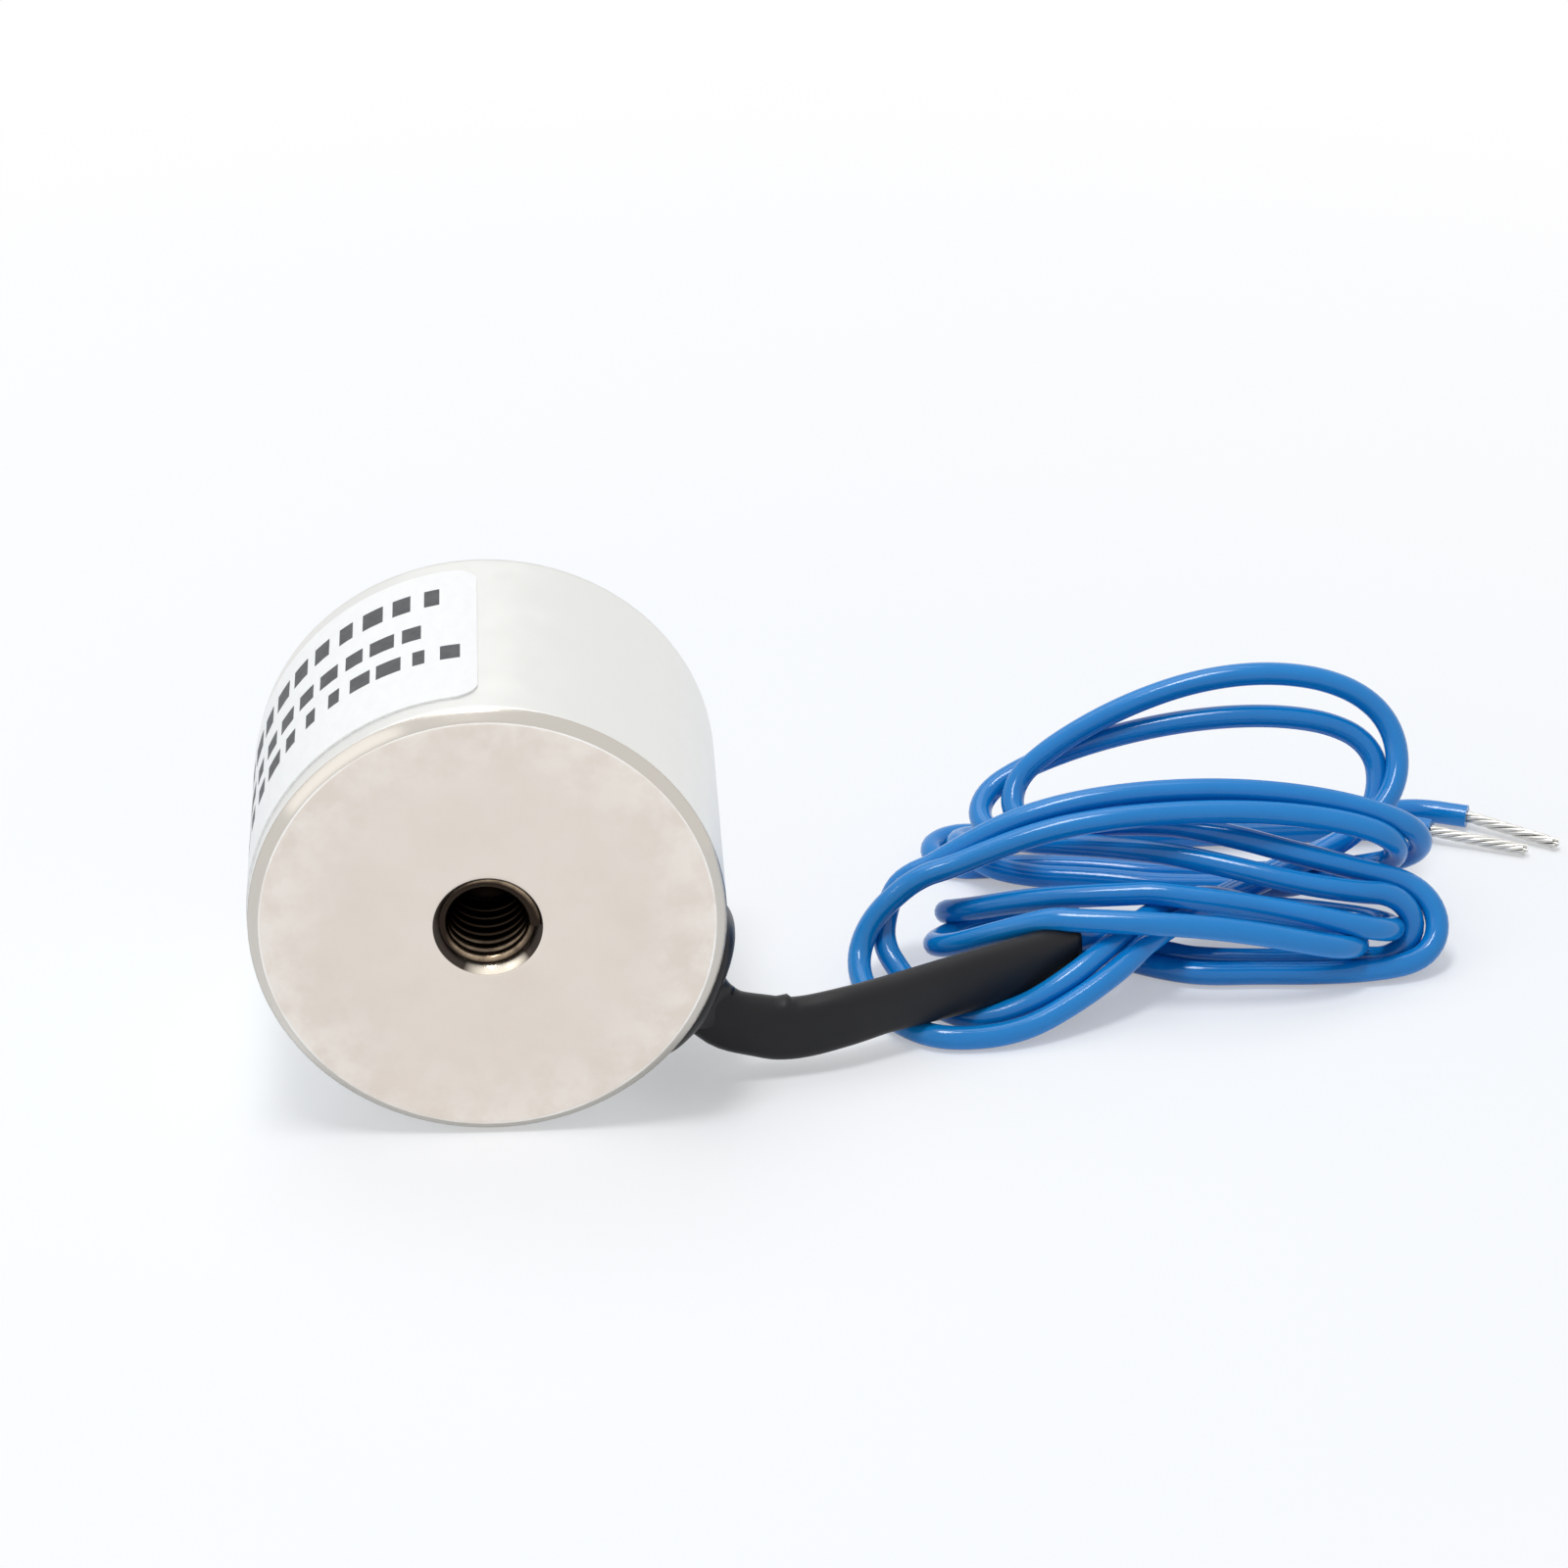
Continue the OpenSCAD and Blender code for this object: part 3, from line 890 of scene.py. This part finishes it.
@dataclass(frozen=True)
class Settling:
    """Moves strands apart, off the floor and out of the sleeve, and rounds their bends.

    Each round adds up its pushes. Pull draws a point back to its first place, ease takes its
    neighbours along, widen opens folds tighter than bend_r, and iron takes out kinks. Points
    of one strand within own_reach diameters of each other don't push each other.
    """

    spacing: float = 0.8 * MM
    rounds: int = 300
    bend_r: float = 2.1 * MM
    fold_points: int = 4
    own_reach: float = 3.0
    pull: float = 0.005
    ease: float = 0.1
    widen: float = 0.1
    iron: float = 0.15

    def run(self, lines: list[np.ndarray], held: np.ndarray, lead_d: float,
            tubes: list[np.ndarray], room: float) -> list[np.ndarray]:
        """Settles all leads together.

        Args:
            lines: Points of each lead.
            held: Which of all points stay.
            lead_d: Diameter of a lead.
            tubes: Middle lines that the leads keep away from.
            room: Least distance from those lines.

        Returns:
            The moved points of each lead.
        """
        counts = [len(line) for line in lines]
        goal = np.vstack(lines)
        place = goal.copy()
        lead = np.repeat(np.arange(len(lines)), counts)
        along = np.concatenate([np.arange(n) for n in counts]) * self.spacing
        close = np.abs(along[:, None] - along) < self.own_reach * lead_d
        free = ~((lead[:, None] == lead) & close | (held[:, None] & held))
        for _ in range(self.rounds):
            push = self._parted(place, free, lead_d)
            for tube in tubes:
                push += self._out_of(place, tube, room)
            self._along(push, place, place - goal, lead)
            push[held] = 0.0
            place += push
            place[:, 2] = np.maximum(place[:, 2], lead_d / 2)
        return np.split(place, np.cumsum(counts)[:-1])

    @staticmethod
    def _parted(place: np.ndarray, free: np.ndarray, lead_d: float) -> np.ndarray:
        """Push that takes each of two touching strands half of the way apart.

        Args:
            place: The points.
            free: Which pairs of points may push each other.
            lead_d: Diameter of a lead.

        Returns:
            One push per point.
        """
        gap = place[:, None] - place
        far = np.linalg.norm(gap, axis=2)
        hit = (far < lead_d) & free
        share = np.where(hit, (lead_d - far) / np.maximum(far, TINY), 0.0)
        return 0.5 * (gap * share[..., None]).sum(1) / np.maximum(hit.sum(1), 1)[:, None]

    @staticmethod
    def _out_of(place: np.ndarray, tube: np.ndarray, room: float) -> np.ndarray:
        """Push that brings points out of a tube.

        Args:
            place: The points.
            tube: Points down the middle of the tube.
            room: Least distance from that line.

        Returns:
            One push per point.
        """
        gap = place[:, None] - tube
        far = np.linalg.norm(gap, axis=2)
        rows = np.arange(len(place))
        near = far.argmin(1)
        least = far[rows, near]
        share = np.where(least < room, (room - least) / np.maximum(least, TINY), 0.0)
        return gap[rows, near] * share[:, None]

    def _along(self, push: np.ndarray, place: np.ndarray, moved: np.ndarray,
               lead: np.ndarray) -> None:
        """Adds the pushes along each lead: ease, pull, widen and iron.

        Args:
            push: The round's pushes.
            place: The points.
            moved: How far each point is from its first place.
            lead: Which lead each point is on.
        """
        step = np.where((lead[1:] == lead[:-1])[:, None], np.diff(moved, axis=0), 0.0)
        push[:-1] += self.ease / 2 * step
        push[1:] -= self.ease / 2 * step
        push -= self.pull * moved
        n = self.fold_points
        chord = place[n:] - place[:-n]
        span = np.linalg.norm(chord, axis=1)
        least = 2 * self.bend_r * math.sin(n / 2 * self.spacing / self.bend_r)
        tight = (lead[n:] == lead[:-n]) & (span < least)
        open_up = chord * np.where(tight, self.widen * (least - span) / span, 0.0)[:, None]
        push[n:] += open_up
        push[:-n] -= open_up
        bow = place[:-2] + place[2:] - 2 * place[1:-1]
        size = np.linalg.norm(bow, axis=1)
        most = self.spacing ** 2 / self.bend_r
        kinked = (lead[2:] == lead[:-2]) & (size > most)
        share = np.where(kinked, self.iron * (1 - most / np.maximum(size, TINY)), 0.0)
        flatten = bow * share[:, None]
        push[1:-1] += flatten
        push[:-2] -= flatten / 2
        push[2:] -= flatten / 2


@dataclass
class Leads:
    """Two insulated leads in a shrunk sleeve, coiled beside the pot, with stripped ends.

    Swell lists places along the sleeve with its swelling below and above, in millimetres.
    """

    lead_d: float = 1.05 * MM
    lead_lift: float = 0.54 * MM
    lead_roundness: int = 6
    sleeve_h: float = 1.245 * MM
    sleeve_w: float = 0.705 * MM
    sleeve_t: float = 0.15 * MM
    sleeve_sides: int = 40
    sleeve_spacing: float = 0.25 * MM
    oval_turn: float = 3.0
    hole_y: float = 4.3 * MM
    hole_angle: float = math.radians(34)
    exit_steps: tuple[float, ...] = (8.45 * MM, 10 * MM, 11.7175 * MM, 12.4225 * MM)
    lead_end_r: float = 7.8 * MM
    free_route: tuple[Point, ...] = (
        (1.6, 4.4, 2.7), (3, 4.6, 2.4), (5, 5.1, 2.4), (7.2, 6.1, 2.4),
        (9.6, 7.25, 2.4), (12, 8.4, 2.4), (13.8, 9.2625, 2.4), (15.6, 10.125, 2.4))
    quarter_steps: int = 6
    settling: Settling = Settling()
    held_past_sleeve: int = 2
    held_tail: float = 6.9 * MM
    line_spacing: float = 0.3 * MM
    strip_l: float = 4.6 * MM
    strand_d: float = 0.55 * MM
    strands: int = 6
    strand_twist: float = 1.15
    strand_seed: int = 3
    tip_run: int = 3
    tip_dip: float = 0.06
    swell: tuple[Point, ...] = (
        (0, 0, 0), (3.2, 0.4, -0.14), (5.9, 0.55, -0.12), (6.2, 0.55, 0.08), (6.5, 0.52, -0.1),
        (9, 0.3, 0), (11, 0.15, 0), (15, 0.25, 0.12), (21, 0.2, 0.22))
    lines: dict[str, np.ndarray] = field(default_factory=dict)
    axis: np.ndarray = field(init=False)
    corner: np.ndarray = field(init=False)

    def __post_init__(self) -> None:
        """Reads the pot's axis and the corner of the lead's places from the frame."""
        self.axis = pot_axis()
        self.corner = np.array([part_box("pot_body")[1].x, self.axis[1], 0.0])

    def build(self) -> None:
        """Makes the leads, the sleeve and the stripped tips."""
        self._route()
        sleeve = self._sleeve()
        insulation = INSULATION.material()
        tinned = TINNED.material()
        for route, tip_node in ((UPPER_LEAD, "lead_1_tip"), (LOWER_LEAD, "lead_2_tip")):
            tip = self._tip(route, tip_node, tinned)
            lead = add_piece(self._curve(route, insulation), Slot.INSULATION, *route.nodes)

    def on_exit(self, distance: float) -> np.ndarray:
        """Point on the lead hole's axis.

        Args:
            distance: Distance from the pot's axis.

        Returns:
            The point.
        """
        out = np.array([math.cos(self.hole_angle), 0.0, -math.sin(self.hole_angle)])
        return self.axis + (0.0, self.hole_y, 0.0) + distance * out

    def _placed(self, *points: Point) -> list[np.ndarray]:
        """Turns places in millimetres from the corner into the part's frame."""
        return [self.corner + np.array(point) * MM for point in points]

    def _sleeve_route(self) -> np.ndarray:
        """Points down the middle of the sleeve."""
        return np.array([self.on_exit(s) for s in self.exit_steps] + self._placed(*self.free_route))

    def _quarter(self, before: np.ndarray, first: np.ndarray, last: np.ndarray,
                 after: np.ndarray) -> list[np.ndarray]:
        """Points of a quarter turn between two stations.

        The four stations give the centre, the two half axes and the oval of one full turn,
        and the quarter between the middle two is walked through by its angle.

        Args:
            before: Station before the quarter.
            first: Station where it starts.
            last: Station where it ends.
            after: Station after it.

        Returns:
            The points, without the last station.
        """
        centre = (before + first + last + after) / 4
        long_axis, short_axis = (before - last) / 2, (first - after) / 2
        oval = (before + last - first - after) / 4
        steps = range(self.quarter_steps)
        angles = [math.pi / 2 * (1 + i / self.quarter_steps) for i in steps]
        return [centre + long_axis * math.cos(a) + short_axis * math.sin(a)
                + oval * math.cos(2 * a) for a in angles]

    def _raw_line(self, route: LeadRoute) -> np.ndarray:
        """Line of one lead through the sleeve, its turns and its tail.

        Args:
            route: The lead's places.

        Returns:
            Evenly spaced points.
        """
        lift = np.array([0.0, 0.0, self.lead_lift * route.side.value])
        points = [self.on_exit(self.lead_end_r) + lift, *(self._sleeve_route() + lift)]
        tail = self._placed(*route.tail)
        stations = [points[-1], *self._placed(route.start)]
        runs = [[], []]
        for turn in route.turns:
            stations += self._placed(turn.right, turn.homeward, turn.left, turn.outward)
            runs += [[], self._placed(*turn.via), [], []]
        stations.append(tail[0])
        for i in range(1, len(stations) - 2):
            before = runs[i - 1][-1] if runs[i - 1] else stations[i - 1]
            quarter = self._quarter(before, stations[i], stations[i + 1], stations[i + 2])
            points += [stations[i], *runs[i]] if runs[i] else quarter
        return through(np.array(points + [stations[-2]] + tail), self.settling.spacing)

    def _route(self) -> None:
        """Lays both leads and settles their strands; sleeve and tails hold them."""
        routes = (UPPER_LEAD, LOWER_LEAD)
        lines = [self._raw_line(route) for route in routes]
        spacing = self.settling.spacing
        sleeve = through(self._sleeve_route(), spacing)
        in_sleeve = (len(sleeve) + self.held_past_sleeve) * spacing
        held = []
        for line in lines:
            along = np.arange(len(line)) * spacing
            held.append((along < in_sleeve) | (along > len(line) * spacing - self.held_tail))
        tall = self.sleeve_h - self.sleeve_w
        tubes = [sleeve + (0.0, 0.0, lift) for lift in (tall, -tall)]
        settled = self.settling.run(lines, np.concatenate(held), self.lead_d, tubes,
                                    self.sleeve_w + self.lead_d / 2)
        for route, line in zip(routes, settled):
            self.lines[route.name] = through(line, self.line_spacing)

    def _curve(self, route: LeadRoute, material: Material) -> Object:
        """Makes one lead as a round curve.

        Args:
            route: The lead.
            material: Its finish.

        Returns:
            The curve object.
        """
        line = self.lines[route.name]
        data = bpy.data.curves.new(route.name, "CURVE")
        data.dimensions = "3D"
        data.bevel_depth = self.lead_d / 2
        data.bevel_resolution = self.lead_roundness
        data.use_fill_caps = True
        spline = data.splines.new("POLY")
        spline.points.add(len(line) - 1)
        spline.points.foreach_set("co", np.column_stack([line, np.ones(len(line))]).ravel())
        data.materials.append(material)
        return put(route.name, data)

    def _sleeve(self) -> Object:
        """Makes the sleeve: an oval pipe that is a little uneven where it shrank.

        Returns:
            The piece.
        """
        line = through(self._sleeve_route(), self.sleeve_spacing)
        heading = np.gradient(line, axis=0)
        heading /= np.linalg.norm(heading, axis=1)[:, None]
        sideways = np.cross(heading, (0.0, 0.0, 1.0))
        sideways /= np.linalg.norm(sideways, axis=1)[:, None]
        upward = np.cross(sideways, heading)
        angles = np.arange(self.sleeve_sides) * 2 * math.pi / self.sleeve_sides
        rise = np.sin(angles)
        half = np.sign(rise) * np.minimum(1.0, np.abs(rise) * self.oval_turn)
        at, *swellings = np.array(self.swell).T
        below, over = (np.interp(distances(line) / MM, at, s)[:, None] for s in swellings)
        uneven = np.where(half[None, :] > 0, over, below) * MM * half
        rings = []
        for r in (self.sleeve_w, self.sleeve_w - self.sleeve_t):
            across = r * np.cos(angles)
            above = half * (self.sleeve_h - self.sleeve_w) + r * rise + uneven
            ring = line[:, None] + across[None, :, None] * sideways[:, None]
            rings.append((ring + above[:, :, None] * upward[:, None]).reshape(-1, 3))
        faces = pipe_faces(len(line), self.sleeve_sides)
        made = mesh_object("lead_sleeve_shrunk", np.vstack(rings), faces, SLEEVE.material())
        return add_piece(made, Slot.SLEEVE, "lead_sleeve")

    def _tip(self, route: LeadRoute, node: str, material: Material) -> Object:
        """Makes a stripped tip of twisted strands, each a third of the bundle thick.

        Args:
            route: The lead that it ends.
            node: The CAD node that it stands for.
            material: The strands' finish.

        Returns:
            The piece.
        """
        line = self.lines[route.name]
        heading = Vector(line[-1] - line[-1 - self.tip_run]).normalized()
        heading.rotate(Euler((0.0, 0.0, math.radians(route.tip_turn))))
        heading.z = -self.tip_dip
        turn = heading.to_track_quat("Z", "Y").to_matrix().to_4x4()
        values = {"Length": self.strip_l, "Bundle Radius": self.strand_d / 3,
                  "Strand Radius": self.strand_d / 6, "Strands": self.strands,
                  "Twist": self.strand_twist, "Seed": route.side.value + self.strand_seed,
                  "Material": material}
        made = run_geometry_nodes(route.name + "_tip", twisted_strands(), values,
                                  Matrix.Translation(Vector(line[-1])) @ turn)
        return add_piece(made, Slot.STRANDS, node)


def pipe_faces(count: int, sides: int) -> list[tuple[int, ...]]:
    """Faces of a pipe with a wall, closed at both ends.

    Args:
        count: Rings of points on the outside, and as many after them on the inside.
        sides: Points of each ring.

    Returns:
        Vertex indices of each face, outward.
    """
    faces = []
    inner, last = count * sides, (count - 1) * sides
    for j in range(sides):
        k = (j + 1) % sides
        for a in range(0, last, sides):
            b = a + sides
            faces.append((a + j, b + j, b + k, a + k))
            faces.append((inner + a + k, inner + b + k, inner + b + j, inner + a + j))
        faces.append((j, k, inner + k, inner + j))
        faces.append((last + k, last + j, inner + last + j, inner + last + k))
    return faces


# Geometry trees


def open_geometry(name: str, inputs: dict[str, object]) -> tuple[Tree, Sockets, Socket]:
    """Opens a geometry tree with a Material input after the given ones."""
    every = {**inputs, "Material": "NodeSocketMaterial"}
    return open_group(name, "GeometryNodeTree", every, ("Geometry", "NodeSocketGeometry"))


def close_geometry(tree: Tree, geometry: object, material: Socket, result: Socket) -> NodeTree:
    """Ends a geometry tree in Realize Instances and Set Material.

    Args:
        tree: The tree.
        geometry: What it has made.
        material: The finish.
        result: The tree's output.

    Returns:
        The finished tree.
    """
    real = tree.add("GeometryNodeRealizeInstances", {0: geometry})
    dressed = tree.add("GeometryNodeSetMaterial", {"Geometry": real, "Material": material})
    tree.feed(dressed, result)
    return tree.tree


def helix(tree: Tree, points: int, turns: Socket, radius: Socket, height: Socket) -> Socket:
    """Adds a curve that winds about Z, with so many points per turn."""
    return tree.add("GeometryNodeCurveSpiral", {
        "Resolution": points, "Rotations": turns, "Start Radius": radius,
        "End Radius": radius, "Height": height}).outputs[0]


def round_wire(tree: Tree, curve: object, radius: Socket, sides: int) -> bpy.types.Node:
    """Adds a smooth round wire along a curve.

    Args:
        tree: The geometry tree.
        curve: The curve.
        radius: The wire's radius.
        sides: Points round the wire.

    Returns:
        The node that gives its mesh.
    """
    section = tree.add("GeometryNodeCurvePrimitiveCircle", {"Resolution": sides, "Radius": radius})
    wire = tree.add("GeometryNodeCurveToMesh", {
        "Curve": curve, "Profile Curve": section, "Fill Caps": True})
    return tree.add("GeometryNodeSetShadeSmooth", {0: wire})


def random_share(tree: Tree, span: Range, seed: Socket) -> Socket:
    """Adds a random number within the span for each instance."""
    node = tree.add("FunctionNodeRandomValue", {"Min": span[0], "Max": span[1], "Seed": seed},
                    data_type="FLOAT")
    return next(s for s in node.outputs if s.enabled)


@cache
def twisted_strands() -> NodeTree:
    """Makes the tree of a bundle of strands twisted about Z, with one in the middle.

    Returns:
        The geometry tree, made on the first call.
    """
    turn_points, wire_sides, shorter = 24, 10, (0.93, 1.0)
    tree, given, result = open_geometry("twisted_strands", {
        "Length": 5 * MM, "Bundle Radius": 0.2 * MM, "Strand Radius": 0.1 * MM, "Strands": 6,
        "Twist": 1.0, "Seed": 0})
    strand = helix(tree, turn_points, given["Twist"], given["Bundle Radius"], given["Length"])
    step = tree.math("DIVIDE", 2 * math.pi, given["Strands"])
    turned = tree.math("MULTIPLY", tree.add("GeometryNodeInputIndex"), step)
    around = tree.add("GeometryNodeInstanceOnPoints", {
        "Points": tree.add("GeometryNodePoints", {"Count": given["Strands"]}),
        "Instance": strand, "Rotation": tree.join(Z=turned),
        "Scale": tree.join(X=1.0, Y=1.0, Z=random_share(tree, shorter, given["Seed"]))})
    middle = tree.add("GeometryNodeCurvePrimitiveLine", {"End": tree.join(Z=given["Length"])})
    bundle = tree.add("GeometryNodeJoinGeometry")
    for curve in (around, middle):
        tree.feed(curve, bundle.inputs[0])
    curves = tree.add("GeometryNodeRealizeInstances", {0: bundle})
    wires = round_wire(tree, curves, given["Strand Radius"], wire_sides)
    return close_geometry(tree, wires, given["Material"], result)


@cache
def helical_ridge() -> NodeTree:
    """Makes the tree of a rounded ridge that winds about Z.

    Returns:
        The geometry tree, made on the first call.
    """
    turn_points, ridge_sides = 64, 12
    tree, given, result = open_geometry("helical_ridge", {
        "Radius": 2 * MM, "Ridge": 0.3 * MM, "Turns": 6.0, "Length": 5 * MM})
    winding = helix(tree, turn_points, given["Turns"], given["Radius"], given["Length"])
    upright = tree.add("GeometryNodeSetCurveNormal", {0: winding}, mode="Z_UP")
    ridge = round_wire(tree, upright, given["Ridge"], ridge_sides)
    return close_geometry(tree, ridge, given["Material"], result)


@cache
def bar_row() -> NodeTree:
    """Makes the tree of a row of bars of uneven width, bent round a cylinder along Y.

    Returns:
        The geometry tree, made on the first call.
    """
    widths, cuts = (0.55, 1.2), {"Vertices X": 6, "Vertices Y": 2, "Vertices Z": 2}
    tree, given, result = open_geometry("bar_row", {
        "Radius": 10 * MM, "Bars": 12, "Step": 1.3 * MM, "Width": 1 * MM, "Height": 1.3 * MM,
        "Thickness": 0.01 * MM, "Start": 1.7, "Seed": 0})
    size = tree.join(X=given["Width"], Y=given["Height"], Z=given["Thickness"])
    bars = tree.add("GeometryNodeInstanceOnPoints", {
        "Points": tree.add("GeometryNodeMeshLine", {
            "Count": given["Bars"], "Offset": tree.join(X=given["Step"])}),
        "Instance": tree.add("GeometryNodeMeshCube", {"Size": size, **cuts}),
        "Scale": tree.join(X=random_share(tree, widths, given["Seed"]), Y=1.0, Z=1.0)})
    real = tree.add("GeometryNodeRealizeInstances", {0: bars})
    flat = tree.split(tree.add("GeometryNodeInputPosition"))
    angle = tree.math("ADD", given["Start"], tree.math("DIVIDE", flat["X"], given["Radius"]))
    radius = tree.math("ADD", given["Radius"], flat["Z"])
    bent = tree.join(X=tree.math("MULTIPLY", radius, tree.math("COSINE", angle)), Y=flat["Y"],
                     Z=tree.math("MULTIPLY", radius, tree.math("SINE", angle)))
    wrapped = tree.add("GeometryNodeSetPosition", {"Geometry": real, "Position": bent})
    outward = tree.add("GeometryNodeFlipFaces", {0: wrapped})
    return close_geometry(tree, outward, given["Material"], result)


# Pot, seal and label


@dataclass
class Pot:
    """Turned pot with its tapped hole, inner pieces and cast resin."""

    thread_r: float = 2.0 * MM
    pitch: float = 0.7 * MM
    ridge: float = 0.31 * MM
    thread_from: float = 0.25 * MM
    thread_l: float = 5.3 * MM

    def build(self, leads: Leads) -> None:
        """Dresses the nodes, seals the leads' exit and cuts the thread.

        Args:
            leads: The leads that come out of the pot.
        """
        for node, finish in (("pot_body", NickelPlate()), ("coil_bobbin", NYLON),
                             ("copper_winding", COPPER), ("winding_tape", TAPE)):
            dress(node, finish.material())
        solder = SOLDER.material()
        dress("solder_joint_1", solder)
        dress("solder_joint_2", solder)
        resin = RESIN.material()
        dress("casting_resin", resin)
        ExitSeal().build(leads, resin)
        self._thread()

    def _thread(self) -> None:
        """Makes the ridge of the thread as a helix on the bore's wall."""
        start = Vector(pot_axis() + (0.0, self.thread_from, 0.0))
        inward = Euler((math.radians(-90), 0.0, 0.0)).to_matrix().to_4x4()
        values = {"Radius": self.thread_r, "Ridge": self.ridge, "Turns": self.thread_l / self.pitch,
                  "Length": self.thread_l, "Material": CutThread().material()}
        made = run_geometry_nodes("mount_thread_ridge", helical_ridge(), values,
                                  Matrix.Translation(start) @ inward)
        add_piece(made, Slot.STEEL)


@dataclass(frozen=True)
class Wave:
    """Unevenness round the exit: its share, how often it comes and where it starts."""

    share: float
    count: int
    start: float

    def at(self, turn: float) -> float:
        """Unevenness at an angle about the exit."""
        return self.share * math.sin(self.count * turn + self.start)


@dataclass
class ExitSeal:
    """Resin round the lead exit: a film on the pot that runs up the sleeve in a hollow curve.

    Reach is how far the film goes from the exit's axis: up the pot's side, down it, and
    towards its mounting face and its holding face.
    """

    film_t: float = 0.62 * MM
    film_edge: float = 0.8 * MM
    film_wave: Wave = Wave(0.12, 2, 0.7)
    swell_up: float = 0.35 * MM
    reach_up: float = 4.3 * MM
    reach_down: float = 3.3 * MM
    reach_front: float = 3.5 * MM
    reach_back: float = 3.3 * MM
    rim_waves: tuple[Wave, ...] = (Wave(0.03, 3, 1.0), Wave(0.02, 7, 0.0))
    fillet_up: float = 1.0 * MM
    fillet_down: float = 1.9 * MM
    rooted: float = 0.05 * MM
    merged: float = 0.12 * MM
    sides: int = 96
    steps: int = 8

    def build(self, leads: Leads, material: Material) -> None:
        """Makes the seal as a closed ring.

        Args:
            leads: The leads, for the exit and the sleeve.
            material: The resin.
        """
        pot_r = leads.corner[0] - leads.axis[0]
        out = (leads.on_exit(pot_r) - leads.on_exit(0.0)) / pot_r
        upward = np.cross((0.0, -1.0, 0.0), out)
        points = []
        for k in range(self.sides):
            turn = 2 * math.pi * k / self.sides
            for radius, height in self._profile(turn, leads):
                over, along = radius * math.sin(turn), radius * math.cos(turn)
                level = math.sqrt(pot_r ** 2 - over ** 2) + height
                points.append(leads.on_exit(level) + over * upward + (0.0, along, 0.0))
        count = len(points) // self.sides
        faces = []
        for k in range(self.sides):
            a, b = k * count, (k + 1) % self.sides * count
            for i in range(count):
                j = (i + 1) % count
                faces.append((a + i, a + j, b + j, b + i))
        made = mesh_object("exit_seal_film", np.array(points), faces, material)
        add_piece(made, Slot.RESIN, "exit_seal")

    def _profile(self, turn: float, leads: Leads) -> list[tuple[float, float]]:
        """Section through the seal on one side of the exit.

        Args:
            turn: Angle about the exit's axis, from the holding face's side.
            leads: The leads, for the sleeve's oval.

        Returns:
            Distances from the axis and heights over the pot, from the rim inwards.
        """
        up, back = math.sin(turn), math.cos(turn)
        half, r = leads.sleeve_h - leads.sleeve_w, leads.sleeve_w
        if r * abs(up) <= half * abs(back):
            sleeve = r / abs(back)
        else:
            sleeve = half * abs(up) + math.sqrt(r ** 2 - (half * back) ** 2)
        far_up = self.reach_up if up > 0 else self.reach_down
        far_back = self.reach_back if back > 0 else self.reach_front
        reach = 1 / math.hypot(back / far_back, up / far_up)
        reach *= 1 + sum(wave.at(turn) for wave in self.rim_waves)
        film = self.film_t * (1 + self.film_wave.at(turn)) + self.swell_up * max(0.0, up) ** 2
        fillet = self.fillet_up + (self.fillet_down - self.fillet_up) * (0.5 - 0.5 * up)
        inner = sleeve - self.merged
        rim, flare = [], []
        for i in range(self.steps + 1):
            a = math.pi / 2 * i / self.steps
            rim.append((reach - self.film_edge * (1 - math.cos(a)), film * math.sin(a)))
            flare.append((inner + fillet * (1 - math.sin(a)), film + fillet * (1 - math.cos(a))))
        return [(reach, -self.rooted), *rim, *flare, (inner, -self.rooted)]


@dataclass(frozen=True)
class PrintRow:
    """One row of plain bars on the label: its distance from the mounting face and its end."""

    y: float
    height: float
    end_angle: float
    bars: int
    seed: int


@dataclass
class Label:
    """Paper label with rows of plain bars for print."""

    bar_w: float = 0.95 * MM
    bar_step: float = 1.35 * MM
    ink_t: float = 0.012 * MM
    rows: tuple[PrintRow, ...] = (
        PrintRow(11.1 * MM, 1.5 * MM, 102.0, 15, 2),
        PrintRow(8.1 * MM, 1.25 * MM, 107.0, 13, 5),
        PrintRow(5.7 * MM, 1.25 * MM, 97.5, 16, 9))

    def build(self) -> None:
        """Dresses the paper and prints the rows."""
        dress("paper_label", LabelPaper().material())
        axis = pot_axis()
        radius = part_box("paper_label")[1].z - axis[2]
        ink = INK.material()
        for number, row in enumerate(self.rows, 1):
            values = {"Radius": radius, "Bars": row.bars, "Step": self.bar_step,
                      "Width": self.bar_w, "Height": row.height, "Thickness": self.ink_t,
                      "Start": math.radians(row.end_angle), "Seed": row.seed, "Material": ink}
            centre = Matrix.Translation(Vector(axis + (0.0, row.y, 0.0)))
            add_piece(run_geometry_nodes(f"label_row_{number}", bar_row(), values, centre),
                      Slot.PAPER)


def main() -> None:
    """Builds the studio and the part's pieces in order."""
    Studio().build()
    leads = Leads()
    leads.build()
    Pot().build(leads)
    Label().build()


if __name__ == "__main__":
    main()
